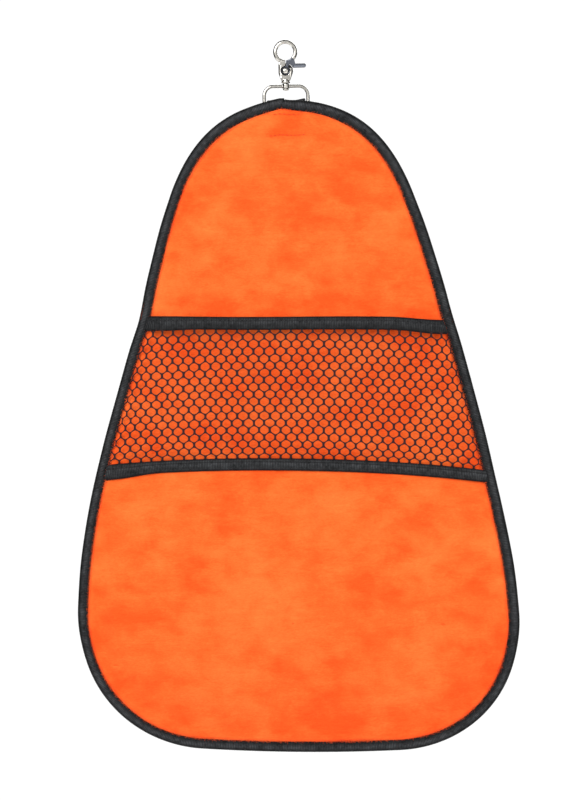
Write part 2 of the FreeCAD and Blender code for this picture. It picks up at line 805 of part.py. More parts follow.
def band_outline(sketch, high, low):
    """An arched strip between two depths below the pocket's lower edge line."""
    side = -size("pocket_base_side_drop")
    middle = -size("pocket_base_middle_drop")
    wide_high = outline_half_width(side + high, size("plush_field_inset"))
    wide_low = outline_half_width(side + low, size("plush_field_inset"))
    arc_through(sketch, (wide_high, side + high), (0, middle + high), (-wide_high, side + high))
    line(sketch, (-wide_high, side + high), (-wide_low, side + low))
    arc_through(sketch, (-wide_low, side + low), (0, middle + low), (wide_low, side + low))
    line(sketch, (wide_low, side + low), (wide_high, side + high))


def make_bottom_binding():
    """Tape over the net's lower edge, lying on the plush."""
    body = panel_body("pocket_bottom_binding")
    strip = sketch_on(body, "bottom_band", "XZ_Plane", "panel_setback + plush_half")
    band_outline(strip, -size("hem_gap") / 2, -size("band_height"))
    pad(body, strip, "net_thick + hem_thick")
    return body


def make_bottom_stitching():
    """Two lines of thread along the lower tape."""
    body = panel_body("pocket_bottom_stitching")
    offset = "panel_setback + plush_half + net_thick + hem_thick"
    wide = size("thread_wide")
    for number, high in enumerate((-1.2, -size("band_height") + 1.7)):
        strip = sketch_on(body, f"bottom_thread_{number}", "XZ_Plane", offset)
        band_outline(strip, high, high - wide)
        pad(body, strip, "thread_proud")
    return body


def mouth_profile(proud):
    """The hem's front line seen from above, moved forwards by proud."""
    half = outline_half_width(-size("mouth_drop") + size("hem_height") / 2, size("pocket_inset"))
    face = -size("panel_setback") - size("plush_half")
    back = face - size("hem_gap") - size("hem_thick")
    front = face - size("pocket_depth") - size("net_thick")
    shoulder = half - size("pocket_side_slope")
    return [(-half, back - proud), (-shoulder, front - proud), (shoulder, front - proud), (half, back - proud)]


def mouth_strip(body, name, near, far, low, height):
    """A strip that follows the pocket's mouth, between two distances in front of its inner line."""
    sketch = sketch_on(body, name, "XY_Plane", low)
    lines(sketch, mouth_profile(near) + mouth_profile(far)[::-1])
    return pad(body, sketch, height)


def make_top_binding():
    """The free hem at the pocket's mouth."""
    body = panel_body("pocket_top_binding")
    mouth_strip(body, "top_band", -size("hem_thick"), 0.0, "-1 * mouth_drop - hem_height / 2", "hem_height")
    return body


def make_top_stitching():
    """Two lines of thread along the hem."""
    body = panel_body("pocket_top_stitching")
    proud = size("thread_proud")
    for number, low in enumerate(("-1 * mouth_drop - 2.6", "-1 * mouth_drop + 2.1")):
        mouth_strip(body, f"top_thread_{number}", 0.0, proud, low, "thread_wide")
    return body


# ---------------------------------------------------------------- build and export


SUB_PARTS = [
    make_hook_body,
    make_trigger,
    make_trigger_rivet,
    make_trigger_spring,
    make_swivel_pin,
    make_swivel_loop,
    make_webbing_tab,
    make_tab_stitching,
    make_front_plush,
    make_wadding,
    make_back_plush,
    make_edge_binding,
    make_edge_stitching,
    make_pocket_mesh,
    make_bottom_binding,
    make_bottom_stitching,
    make_top_binding,
    make_top_stitching,
]


def check(parts):
    """Stops if any object failed to build or any sub-part isn't a sound solid."""
    for thing in doc.Objects:
        if "Invalid" in thing.State or "Error" in thing.State:
            raise RuntimeError(f"{thing.Name} failed: {thing.getStatusString()}")
    for part in parts:
        shape = part.Shape
        if shape.isNull() or not shape.isValid() or shape.Volume <= 0:
            raise RuntimeError(f"{part.Label} is not a sound solid")


def main():
    parts = [make() for make in SUB_PARTS]
    doc.recompute()
    check(parts)
    os.makedirs("parts", exist_ok=True)
    for part in parts:
        part.Shape.exportStep(f"parts/{part.Label}.step")
        box = part.Shape.BoundBox
        print(f"{part.Label:26s} solids {len(part.Shape.Solids)} volume {part.Shape.Volume:10.1f} "
              f"x {box.XMin:.1f} {box.XMax:.1f} y {box.YMin:.1f} {box.YMax:.1f} "
              f"z {box.ZMin:.1f} {box.ZMax:.1f}")


main()
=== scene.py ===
import bpy
import bmesh
import json
import math
import numpy as np
from mathutils import Matrix, Vector, noise
from mathutils.bvhtree import BVHTree
from mathutils.geometry import delaunay_2d_cdt

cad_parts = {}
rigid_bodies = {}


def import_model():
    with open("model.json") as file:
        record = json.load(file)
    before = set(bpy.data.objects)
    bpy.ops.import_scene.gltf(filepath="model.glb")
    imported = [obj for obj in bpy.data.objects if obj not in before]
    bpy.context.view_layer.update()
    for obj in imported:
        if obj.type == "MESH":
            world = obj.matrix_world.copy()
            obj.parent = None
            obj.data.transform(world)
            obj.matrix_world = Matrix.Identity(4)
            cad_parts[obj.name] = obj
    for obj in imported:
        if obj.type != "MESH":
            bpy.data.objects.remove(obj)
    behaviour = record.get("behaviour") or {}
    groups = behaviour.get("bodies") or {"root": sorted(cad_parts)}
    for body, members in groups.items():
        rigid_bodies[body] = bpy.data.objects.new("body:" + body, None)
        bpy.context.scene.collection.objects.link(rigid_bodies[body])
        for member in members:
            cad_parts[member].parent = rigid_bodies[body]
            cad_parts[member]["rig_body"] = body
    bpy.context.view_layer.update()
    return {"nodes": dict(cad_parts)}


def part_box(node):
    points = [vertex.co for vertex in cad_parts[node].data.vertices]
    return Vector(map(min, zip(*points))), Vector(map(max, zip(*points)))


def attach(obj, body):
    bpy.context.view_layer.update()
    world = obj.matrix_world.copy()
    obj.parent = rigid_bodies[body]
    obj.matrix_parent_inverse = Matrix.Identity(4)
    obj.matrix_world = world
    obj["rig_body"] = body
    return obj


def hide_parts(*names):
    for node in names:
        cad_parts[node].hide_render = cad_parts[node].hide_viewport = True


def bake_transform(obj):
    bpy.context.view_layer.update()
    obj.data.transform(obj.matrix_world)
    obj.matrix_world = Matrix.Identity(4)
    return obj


# Hand warmer muff: a flat pear-shaped plush panel bound with tape, with a net pocket, on a swivel snap.
# Sizes are in millimetres in the frame's axes: x to the right, y away from the viewer, z up. Only the room
# round it, at the end, is in metres.

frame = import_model()

MM = 0.001


def box_mm(node):
    """The low and high corners of a CAD piece's box."""
    return [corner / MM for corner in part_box(node)]


# outline of the panel, as the CAD source has it
BINDING_BOX = box_mm("edge_binding")
CENTRE_X = (BINDING_BOX[0].x + BINDING_BOX[1].x) / 2
TOP_Z = BINDING_BOX[1].z
BASE_Z = BINDING_BOX[0].z
MID_Y = (BINDING_BOX[0].y + BINDING_BOX[1].y) / 2
TOP_RADIUS = 83.2
SIDE_ANGLE = math.radians(15.7)
SIDE_LENGTH = 152.0
SIDE_RADIUS = 650.0
CORNER_RADIUS = 84.4
BASE_RADIUS = 1208.0
OUTLINE_STEP = 0.5

# layers, as insets from the outline and depths from the panel's middle plane, and the ribs across the tape
TAPE_LEG = 6.5
TAPE_HALF = 3.3
RIM_HALF = 2.4
PILE_HALF = 4.4
CROWN = 1.5
CORE_HALF = 1.0
RIB_PITCH = 1.05
RIB_STATIONS = 3

# pocket
MOUTH_BOX = box_mm("pocket_top_binding")
MOUTH_Z = (MOUTH_BOX[0].z + MOUTH_BOX[1].z) / 2
HEM_HALF = (MOUTH_BOX[1].z - MOUTH_BOX[0].z) / 2
BASE_BOX = box_mm("pocket_bottom_binding")
BAND_TOP_Z = BASE_BOX[1].z
BAND_HEIGHT = 8.0
BAND_DROP = BASE_BOX[1].z - BASE_BOX[0].z - BAND_HEIGHT
FACE_Y = MID_Y - 4.0
NET_DEPTH = FACE_Y - MOUTH_BOX[0].y - 1.0
CELL_WIDE = 7.0
CELL_ROW = 4.65
CELL_LEG = 2.35
THREAD_LEG = 0.72
THREAD_SLANT = 0.38
THREAD_THICK = 0.36
THREAD_TURNS = [math.radians(turn) for turn in (90, 45, 0, -45, -90)]


# ---------------------------------------------------------------- outline

def arc_samples(centre, radius, start, end):
    count = max(3, int(abs(end - start) * radius / OUTLINE_STEP))
    angles = np.linspace(start, end, count)
    normals = np.stack([np.cos(angles), np.sin(angles)], 1)
    return centre + radius * normals, normals


def right_outline():
    """Points and outward normals from the top centre, down the right side, to the base's centre."""
    slope = SIDE_ANGLE
    outwards = np.array([math.cos(slope), math.sin(slope)])
    downwards = np.array([math.sin(slope), -math.cos(slope)])
    top = np.array([0.0, TOP_Z - TOP_RADIUS])
    shoulder = top + outwards * TOP_RADIUS + downwards * SIDE_LENGTH
    side = shoulder - outwards * SIDE_RADIUS
    base = np.array([0.0, BASE_Z + BASE_RADIUS])

    from_side = SIDE_RADIUS - CORNER_RADIUS
    from_base = BASE_RADIUS - CORNER_RADIUS
    across = base - side
    apart = np.hypot(*across)
    along = (apart**2 + from_side**2 - from_base**2) / (2 * apart)
    off = math.sqrt(from_side**2 - along**2)
    unit = across / apart
    corner = side + unit * along + np.array([unit[1], -unit[0]]) * off
    side_end = math.atan2(*(corner - side)[::-1])
    corner_end = math.atan2(*(corner - base)[::-1])

    edge = np.linspace(top + outwards * TOP_RADIUS, shoulder, int(SIDE_LENGTH / OUTLINE_STEP))
    stretches = [
        arc_samples(top, TOP_RADIUS, math.pi / 2, slope),
        (edge, np.tile(outwards, (len(edge), 1))),
        arc_samples(side, SIDE_RADIUS, slope, side_end),
        arc_samples(corner, CORNER_RADIUS, side_end, corner_end),
        arc_samples(base, BASE_RADIUS, corner_end, -math.pi / 2),
    ]
    points = np.concatenate([p[:-1] for p, _ in stretches] + [stretches[-1][0][-1:]])
    normals = np.concatenate([n[:-1] for _, n in stretches] + [stretches[-1][1][-1:]])
    return points, normals


def whole_outline():
    right, right_normals = right_outline()
    flip = np.array([-1.0, 1.0])
    points = np.concatenate([right, right[-2:0:-1] * flip])
    normals = np.concatenate([right_normals, right_normals[-2:0:-1] * flip])
    points[:, 0] += CENTRE_X
    return points, normals


RIM, RIM_NORMAL = whole_outline()
RIM_CLOSED = np.concatenate([RIM, RIM[:1]])
NORMAL_CLOSED = np.concatenate([RIM_NORMAL, RIM_NORMAL[:1]])
RIM_AT = np.concatenate([[0.0], np.cumsum(np.hypot(*np.diff(RIM_CLOSED, axis=0).T))])
PERIMETER = RIM_AT[-1]


def rim_point(along, inset):
    """The point inset from the outline at a distance along it, clockwise from the top centre."""
    s = np.mod(along, PERIMETER)
    point = np.stack([np.interp(s, RIM_AT, RIM_CLOSED[:, k]) for k in (0, 1)], -1)
    normal = np.stack([np.interp(s, RIM_AT, NORMAL_CLOSED[:, k]) for k in (0, 1)], -1)
    return point - normal * np.asarray(inset)[..., None]


def inset_of(x, z):
    """How far inside the outline a point lies, and where along the outline it is nearest."""
    depth = np.empty(len(x))
    along = np.empty(len(x))
    sparse, sparse_normal, sparse_at = RIM[::3], RIM_NORMAL[::3], RIM_AT[:-1][::3]
    for start in range(0, len(x), 4000):
        block = slice(start, start + 4000)
        dx = sparse[None, :, 0] - x[block, None]
        dz = sparse[None, :, 1] - z[block, None]
        nearest = np.argmin(dx * dx + dz * dz, 1)
        rows = np.arange(len(nearest))
        away = np.stack([dx[rows, nearest], dz[rows, nearest]], 1)
        depth[block] = (away * sparse_normal[nearest]).sum(1)
        along[block] = sparse_at[nearest]
    return depth, along


RIGHT = right_outline()[0]
SIDE_ROWS = RIGHT[RIGHT[:, 1] > -340.0]


def half_width(z):
    """Half of the outline's width at a height on the panel's long sides."""
    return np.interp(-np.asarray(z, float), -SIDE_ROWS[:, 1], SIDE_ROWS[:, 0])


def side_inset(x, z):
    """A quick inset for points beside the long sides."""
    return (half_width(z) - np.abs(x - CENTRE_X)) * math.cos(SIDE_ANGLE)


def smooth_step(low, high, value):
    t = np.clip((value - low) / (high - low), 0.0, 1.0)
    return t * t * (3 - 2 * t)


def leg_shift(along):
    """The tape's legs are wider than the pattern's, most of all round the top and down the right side."""
    turn = np.asarray(along) / PERIMETER * math.tau
    from_lap = (np.asarray(along) + 3.0 + PERIMETER / 2) % PERIMETER - PERIMETER / 2
    return 0.75 + 0.45 * np.cos(turn - 0.9) - 0.9 * np.exp(-((from_lap / 9.0) ** 2))


# ---------------------------------------------------------------- the panel's lie

SWAY_DROPS = (60.0, 100.0, 173.0, 230.0, 290.0, 376.0, 445.0)
SWAY = (0.2, 0.4, 1.9, 1.0, -0.5, -0.2, -0.2)
FULLER_DROPS = (30.0, 40.0, 58.0, 75.0, 88.0, 103.0, 116.0, 150.0, 170.0, 190.0, 270.0, 335.0, 390.0, 425.0,
                445.0)
FULLER = (0.05, 0.02, -0.018, -0.027, -0.020, -0.003, 0.006, 0.005, -0.005, 0.0, -0.006, 0.004, -0.004, 0.007,
          0.012)
ASKEW_DROPS = (45.0, 110.0, 175.0, 270.0, 330.0, 445.0)
ASKEW = (0.0, 0.008, 0.022, 0.034, 0.030, 0.027)
RISE_AT = (-40.0, -24.0, -4.2, 3.0, 14.0, 34.0)
RISE = (0.25, 0.35, 1.5, 0.45, 0.5, 0.4)


def grid_noise(x, z, scale, seed, stretch=1.0):
    """Smooth noise from -1 to 1 on the panel's plane, read from a grid, which is quick for many points."""
    step = scale / 6
    lows = np.array([x.min() - step, z.min() - step * stretch])
    nx = int((x.max() - lows[0]) / step) + 3
    nz = int((z.max() - lows[1]) / (step * stretch)) + 3
    offset = Vector((seed * 17.3, seed * 5.1, seed * 9.7))
    table = np.array([
        [noise.noise(Vector((i / 6, j / 6, 0)) + offset) for j in range(nz)] for i in range(nx)])
    u = (x - lows[0]) / step
    v = (z - lows[1]) / (step * stretch)
    i, j = u.astype(int), v.astype(int)
    fu, fv = u - i, v - j
    fu, fv = fu * fu * (3 - 2 * fu), fv * fv * (3 - 2 * fv)
    low = table[i, j] * (1 - fu) + table[i + 1, j] * fu
    high = table[i, j + 1] * (1 - fu) + table[i + 1, j + 1] * fu
    return low * (1 - fv) + high * fv


def eased(value, at, amounts, reach):
    """Reads a list of amounts with its corners rounded over a reach."""
    shifts = np.linspace(-reach, reach, 7)
    return sum(np.interp(value + shift, at, amounts) for shift in shifts) / len(shifts)


def lie(points):
    """Every panel piece lies as the real one does: it sways a little sideways, hangs slightly askew, is
    slimmer or fuller in places than its pattern, peaks at the tape's lap, and waves gently front to back."""
    x, y, z = points.T
    drop = -z
    from_middle = x - CENTRE_X
    fuller = from_middle * eased(drop, FULLER_DROPS, FULLER, 8.0)
    sway = eased(drop, SWAY_DROPS, SWAY, 18.0)
    tuck = 0.7 * smooth_step(-50.0, -90.0, x) * np.exp(-(((z + 178.0) / 13.0) ** 2))
    askew = from_middle * eased(drop, ASKEW_DROPS, ASKEW, 15.0)
    rise = np.interp(x, RISE_AT, RISE) * smooth_step(-95.0, -50.0, z)
    free = smooth_step(62.0, 130.0, drop)
    wave = 0.9 * np.sin(x / 48.0 + 0.6) * np.sin(z / 61.0 + 0.4) + 0.7 * np.sin(x / 83.0 - z / 74.0)
    return np.stack([x + fuller + sway + tuck, y + wave * free, z - askew + rise], 1)


# ---------------------------------------------------------------- meshes

def add_object(name, data):
    thing = bpy.data.objects.new(name, data)
    bpy.context.scene.collection.objects.link(thing)
    return thing


def evaluated(thing):
    return thing.evaluated_get(bpy.context.evaluated_depsgraph_get())


def build(name, points, faces, material, body="muff", laid=True, smooth=True):
    """A mesh piece that rides on a body."""
    points = np.asarray(points, float)
    if laid:
        points = lie(points)
    mesh = bpy.data.meshes.new(name)
    mesh.from_pydata((points * MM).tolist(), [], [list(map(int, f)) for f in faces])
    mesh.validate()
    mesh.update()
    if smooth:
        mesh.shade_smooth()
    mesh.materials.append(material)
    piece = add_object(name, mesh)
    if body:
        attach(piece, body)
    return piece


def tube_faces(rows, ring, closed_rows=False):
    """Quads between rows of a lofted tube, each row a closed ring of points."""
    i = np.arange(rows if closed_rows else rows - 1)
    j = np.arange(ring)
    a, b = np.meshgrid(i, j, indexing="ij")
    a2 = (a + 1) % rows
    b2 = (b + 1) % ring
    return np.stack([a * ring + b, a * ring + b2, a2 * ring + b2, a2 * ring + b], -1).reshape(-1, 4)


def capped_tube(rows, ring):
    """The faces of a lofted tube with both of its ends closed."""
    last = (rows - 1) * ring
    return tube_faces(rows, ring).tolist() + [list(range(ring))[::-1], list(range(last, last + ring))]


def ring_quads(first, ring):
    """Quads between a closed ring of points and the ring that follows it."""
    ahead = [(k + 1) % ring for k in range(ring)]
    return [(first + k, first + ahead[k], first + ring + ahead[k], first + ring + k) for k in range(ring)]


def rim_quads(front, back):
    """Quads between two matching closed rows of points."""
    rows = zip(front, front[1:] + front[:1], back[1:] + back[:1], back)
    return [list(corners) for corners in rows]


def joined(parts):
    """One list of points and one of faces, from several."""
    points, faces = [], []
    for more, quads in parts:
        faces += [tuple(i + len(points) for i in face) for face in quads]
        points += more
    return points, faces


def ribs(count, groove, crest):
    """The relief along a woven tape: a groove at every third station, and crests between."""
    return np.where(np.arange(count) % RIB_STATIONS == 0, groove, crest)


def outwards(piece):
    """Turns all faces of a closed piece outwards."""
    bm = bmesh.new()
    bm.from_mesh(piece.data)
    bmesh.ops.recalc_face_normals(bm, faces=bm.faces)
    bm.to_mesh(piece.data)
    bm.free()
    return piece


# ---------------------------------------------------------------- materials

WHITE = (1.0, 1.0, 1.0)
EVEN = (1.0, 1.0, 1.0)
# a wave texture has 20 / tau bands a unit, and this scale makes that one
ONE_BAND = 0.05 * math.tau


class Tree:
    """A node tree with a few helpers that fill it."""

    def __init__(self, tree):
        self.tree = tree

    def node(self, kind, **settings):
        made = self.tree.nodes.new(kind)
        for key, value in settings.items():
            setattr(made, key, value)
        return made

    def link(self, a, b):
        self.tree.links.new(a, b)

    def remap(self, value, **ends):
        """Moves a value from one range to another, each from 0 to 1 unless its ends are given."""
        remap = self.node("ShaderNodeMapRange")
        for end, amount in ends.items():
            remap.inputs[end.replace("_", " ")].default_value = amount
        self.link(value, remap.inputs["Value"])
        return remap.outputs["Result"]

    def ramp(self, value, stops):
        ramp = self.node("ShaderNodeValToRGB")
        elements = ramp.color_ramp.elements
        for element, (position, color) in zip(elements, (stops[0], stops[-1])):
            element.position = position
            element.color = (*color, 1.0)
        for position, color in stops[1:-1]:
            elements.new(position).color = (*color, 1.0)
        self.link(value, ramp.inputs["Fac"])
        return ramp.outputs["Color"]

    def mix(self, blend, amount, a, b):
        """Mixes two colours; amount, a and b may be sockets or values."""
        mixer = self.node("ShaderNodeMix", data_type="RGBA", blend_type=blend)
        for socket, value in ((mixer.inputs[0], amount), (mixer.inputs[6], a), (mixer.inputs[7], b)):
            if isinstance(value, bpy.types.NodeSocket):
                self.link(value, socket)
            else:
                socket.default_value = value
        return mixer.outputs[2]


class Shader(Tree):
    """A Principled material with helpers for its textures and its sockets."""

    def __init__(self, name, color, roughness, **sockets):
        self.material = bpy.data.materials.new(name)
        self.material.use_nodes = True
        super().__init__(self.material.node_tree)
        self.surface = self.tree.nodes["Principled BSDF"]
        self.surface.inputs["Base Color"].default_value = (*color, 1.0)
        self.surface.inputs["Roughness"].default_value = roughness
        for socket, value in sockets.items():
            self.surface.inputs[socket.replace("_", " ")].default_value = value
        self.place = self.node("ShaderNodeTexCoord").outputs["Object"]
        self.height = None

    def textured(self, texture, per_mm, stretch):
        """Lays a texture over the piece, with per_mm features a millimetre."""
        mapping = self.node("ShaderNodeMapping")
        mapping.inputs["Scale"].default_value = [per_mm / MM * s for s in stretch]
        self.link(self.place, mapping.inputs["Vector"])
        self.link(mapping.outputs["Vector"], texture.inputs["Vector"])
        return texture.outputs["Fac"]

    def noise(self, per_mm, detail=3.0, stretch=EVEN, roughness=0.55, warp=0.0):
        """Noise from 0 to 1."""
        texture = self.node("ShaderNodeTexNoise")
        texture.inputs["Scale"].default_value = 1.0
        texture.inputs["Detail"].default_value = detail
        texture.inputs["Roughness"].default_value = roughness
        texture.inputs["Distortion"].default_value = warp
        return self.textured(texture, per_mm, stretch)

    def waves(self, per_mm, direction, bands, distortion):
        """Even bands, bent by a distortion."""
        texture = self.node("ShaderNodeTexWave", wave_type="BANDS", bands_direction=bands)
        texture.inputs["Scale"].default_value = ONE_BAND
        texture.inputs["Distortion"].default_value = distortion
        return self.textured(texture, per_mm, direction)

    def color(self, socket):
        self.link(socket, self.surface.inputs["Base Color"])
        return self

    def spread(self, socket, value, low, high):
        """Sets a socket from a value of 0 to 1, between low and high."""
        self.link(self.remap(value, To_Min=low, To_Max=high), self.surface.inputs[socket])
        return self

    def bump(self, value, depth_mm, strength=1.0):
        """Adds a layer of relief, depth_mm high, over those before it."""
        bump = self.node("ShaderNodeBump")
        bump.inputs["Strength"].default_value = strength
        bump.inputs["Distance"].default_value = depth_mm * MM
        self.link(value, bump.inputs["Height"])
        if self.height is not None:
            self.link(self.height, bump.inputs["Normal"])
        self.height = bump.outputs["Normal"]
        self.link(self.height, self.surface.inputs["Normal"])
        return self


PILE_DARK = (0.90, 0.092, 0.0115)
PILE = (0.93, 0.132, 0.021)
PILE_LIGHT = (0.945, 0.167, 0.0315)
# painted shade darkens the pile between these two heights, most at the lower one
PAINTED_SHADE_DARKEST_Z = -450.0
PAINTED_SHADE_CLEAR_Z = -350.0


def pile_material(name):
    """Short brushed plush: mottled where the pile lies differently, with fine fibres, sheen, and thin dark
    crease lines of painted shade. Painted shade also makes its orange a little deeper towards the panel's
    base."""
    shader = Shader(name, PILE, 0.92, Sheen_Weight=0.30, Sheen_Roughness=0.45,
                    Sheen_Tint=(1.0, 0.62, 0.42, 1.0), Specular_IOR_Level=0.12)
    broad = shader.noise(0.021, 3.0, (0.8, 1.0, 1.1), 0.45, 0.15)
    brushed = shader.noise(0.070, 4.0, (0.75, 1.0, 1.0), 0.55, 0.25)
    streaks = shader.noise(0.55, 3.0, (0.16, 1.0, 1.0), 0.6, 0.5)
    fibres = shader.noise(1.5, 3.0, (0.35, 1.0, 1.0), 0.7, 0.4)
    mottled = shader.mix("MIX", 0.57, broad, brushed)
    body = shader.ramp(mottled, [(0.378, PILE_DARK), (0.5, PILE), (0.622, PILE_LIGHT)])
    combed = shader.ramp(streaks, [(0.30, (0.96, 0.84, 0.76)), (0.66, WHITE)])
    grain = shader.ramp(fibres, [(0.28, (0.84, 0.70, 0.62)), (0.66, WHITE)])
    # painted shade: thin dark crease lines in the pile, placed by noise
    painted_crease_noise = shader.noise(0.17, 2.0, (0.42, 1.0, 2.1), 0.5, 0.6)
    painted_crease_shade = shader.ramp(painted_crease_noise, [(0.74, WHITE), (0.80, (0.80, 0.55, 0.45))])
    shaded = shader.mix("MULTIPLY", 0.8, body, combed)
    heights = shader.node("ShaderNodeSeparateXYZ")
    shader.link(shader.place, heights.inputs[0])
    # painted shade: the orange darkens towards the panel's base
    lower = shader.remap(heights.outputs["Z"], From_Min=PAINTED_SHADE_DARKEST_Z * MM, From_Max=PAINTED_SHADE_CLEAR_Z * MM)
    painted_base_shade = shader.ramp(lower, [(0.0, (0.985, 0.87, 0.86)), (1.0, WHITE)])
    shaded = shader.mix("MULTIPLY", 1.0, shaded, painted_base_shade)
    shaded = shader.mix("MULTIPLY", 0.8, shaded, painted_crease_shade)
    shader.color(shader.mix("MULTIPLY", 0.95, shaded, grain))
    shader.bump(brushed, 0.7, 0.35)
    shader.bump(streaks, 0.30, 0.45)
    shader.bump(fibres, 0.32, 0.55)
    return shader.material


def tape_material(name, shade=1.0):
    """Charcoal woven polyester: uneven yarn over ribs that are in the mesh, with painted shade in the ribs'
    grooves, its fold and its edges.
    """
    base = tuple(c * shade for c in (0.0085, 0.0089, 0.0096))
    light = tuple(c * shade for c in (0.068, 0.071, 0.076))
    shader = Shader(name, base, 0.7, Sheen_Weight=0.01, Sheen_Roughness=0.5, Specular_IOR_Level=0.14)
    yarn = shader.noise(3.2, 3.0, EVEN, 0.65)
    worn = shader.noise(0.42, 4.0, EVEN, 0.65)
    patches = shader.noise(0.09, 3.0)
    tint = shader.mix("MIX", 0.75, yarn, shader.mix("MIX", 0.35, worn, patches))
    woven = shader.ramp(tint, [(0.38, base), (0.62, light)])
    # painted shade: the groove attribute darkens the ribs' grooves, the tape's fold and its edges
    groove = shader.node("ShaderNodeAttribute", attribute_name="groove").outputs["Fac"]
    shadow = shader.ramp(groove, [(0.0, WHITE), (1.0, (0.08, 0.08, 0.08))])
    shader.color(shader.mix("MULTIPLY", 1.0, woven, shadow))
    shader.spread("Roughness", yarn, 0.58, 0.82)
    shader.bump(yarn, 0.12, 0.6)
    return shader.material


def thread_material(name, color):
    """Twisted sewing thread."""
    dark = tuple(c * 0.6 for c in color)
    shader = Shader(name, color, 0.6, Sheen_Weight=0.03, Specular_IOR_Level=0.18)
    twist = shader.waves(2.4, EVEN, "DIAGONAL", 0.6)
    fluff = shader.noise(4.0, 2.0)
    shader.color(shader.ramp(shader.mix("MIX", 0.4, twist, fluff), [(0.25, dark), (0.75, color)]))
    shader.bump(twist, 0.07, 0.7)
    return shader.material


def net_material(name):
    """Warp-knitted polyester net: fine loops along every leg."""
    shader = Shader(name, (0.016, 0.010, 0.015), 0.65, Specular_IOR_Level=0.14, Sheen_Weight=0.01)
    loops = shader.waves(2.2, (0.25, 0.25, 1.0), "Z", 1.6)
    yarn = shader.noise(4.5, 2.0)
    tone = shader.mix("MIX", 0.5, loops, yarn)
    shader.color(shader.ramp(tone, [(0.3, (0.011, 0.005, 0.006)), (0.7, (0.052, 0.021, 0.021))]))
    shader.spread("Roughness", yarn, 0.5, 0.75)
    shader.bump(loops, 0.10, 0.6)
    return shader.material


def webbing_material(name):
    """Black woven strap over the ribs in the mesh."""
    shader = Shader(name, (0.014, 0.014, 0.016), 0.62, Specular_IOR_Level=0.22, Sheen_Weight=0.03)
    yarn = shader.noise(3.0, 3.0, (0.6, 1.0, 2.0), 0.6)
    shader.color(shader.ramp(yarn, [(0.35, (0.008, 0.008, 0.010)), (0.68, (0.026, 0.026, 0.029))]))
    shader.spread("Roughness", yarn, 0.5, 0.75)
    shader.bump(yarn, 0.12, 0.6)
    return shader.material


def metal_material(name, color, low, high, brushed=0.0):
    """Plated metal: soft wear in its gloss, faint casting waves, and painted shade in its recesses."""
    shader = Shader(name, color, low, Metallic=1.0)
    smudge = shader.noise(0.45, 4.0)
    fine = shader.noise(6.0, 2.0, (1.0, 1.0, 0.2) if brushed else EVEN)
    worn = tuple(c * 0.82 for c in color)
    plated = shader.ramp(smudge, [(0.3, worn), (0.6, color)])
    # painted shade: an occlusion node darkens the colour in recesses
    recess_occlusion = shader.node("ShaderNodeAmbientOcclusion", samples=8)
    recess_occlusion.inputs["Distance"].default_value = 2.2 * MM
    painted_recess_shade = shader.ramp(recess_occlusion.outputs["AO"], [(0.40, (0.03, 0.03, 0.03)), (0.92, WHITE)])
    shader.color(shader.mix("MULTIPLY", 1.0, plated, painted_recess_shade))
    shader.spread("Roughness", smudge, low, high)
    shader.bump(shader.noise(0.7, 2.0), 0.05, 0.35)
    shader.bump(fine, 0.01 + brushed, 0.25)
    return shader.material


def wadding_material(name):
    shader = Shader(name, (0.80, 0.80, 0.77), 0.95, Sheen_Weight=0.3)
    fibre = shader.noise(1.0, 4.0, (1.0, 1.0, 0.4), 0.7, 1.0)
    shader.color(shader.ramp(fibre, [(0.3, (0.62, 0.62, 0.60)), (0.7, (0.84, 0.84, 0.81))]))
    shader.bump(fibre, 0.5, 0.7)
    return shader.material


def plain_material(name, color, roughness):
    return Shader(name, color, roughness, Specular_IOR_Level=0.1).material


PLUSH_FRONT = pile_material("plush_pile")
TAPE = tape_material("binding_tape")
# painted shade: the hem's tape is the binding tape darkened to 0.8
SHADED_HEM_TAPE = tape_material("pocket_tape_shaded", 0.8)
BLACK_THREAD = thread_material("black_thread", (0.020, 0.020, 0.022))
# the orange thread is darker than the pile: partly its own colour, partly painted shade along the stitch rows
ORANGE_THREAD = thread_material("orange_thread", (0.66, 0.060, 0.008))
NET = net_material("net_yarn")
WEBBING = webbing_material("webbing_weave")
NICKEL = metal_material("nickel_plate", (0.82, 0.79, 0.725), 0.09, 0.20)
# painted shade and reflection: the trigger's nickel is a darkened blue-grey copy
SHADED_TRIGGER_NICKEL = metal_material("trigger_plate_shaded", (0.23, 0.245, 0.285), 0.10, 0.22)
SPRING = metal_material("spring_steel", (0.50, 0.50, 0.50), 0.25, 0.4, 0.02)
WADDING = wadding_material("wadding_fibre")


# ---------------------------------------------------------------- plush

# the faces' meshes
PLUSH_STEP = 1.55
RIM_RINGS = (1.2, 2.6, 4.4, 5.7, 6.3, 6.9, 7.6, 8.5, 9.7)
BAND_FADE = 7.0
PILE_START = 6.1
BACK_STEP = 9.0
BACK_INSET = 7.0

# the tab's rows of stitches: drop, half length, and depth of the dent
TAB_BOX = box_mm("tab_stitching")
TAB_CENTRE = (TAB_BOX[0].x + TAB_BOX[1].x) / 2
TAB_ROWS = ((54.9, 12.6, 1.5), (41.4, 9.0, 0.9))

# the faces as cloth, sewn down along their seams and swollen by the wadding
SIM_STEP = 4.6
SIM_FRAMES = 18
SIM_SWELL = 1.2
PLUSH_CLOTH = {
    "quality": 6,
    "mass": 0.25,
    "tension_stiffness": 18.0,
    "compression_stiffness": 18.0,
    "shear_stiffness": 8.0,
    "bending_stiffness": 0.35,
    "shrink_min": -0.018,
    "use_pressure": True,
    "uniform_pressure_force": 1.6,
}
SEWN_INSET = 6.9
SEAM_HALF = 2.4
FIELD_INSET = 6.5


def arch(x):
    """How far a line of the pocket's base lies below its middle."""
    half = BASE_BOX[1].x - CENTRE_X
    return -BAND_DROP * (np.abs(x - CENTRE_X) / half) ** 2.2


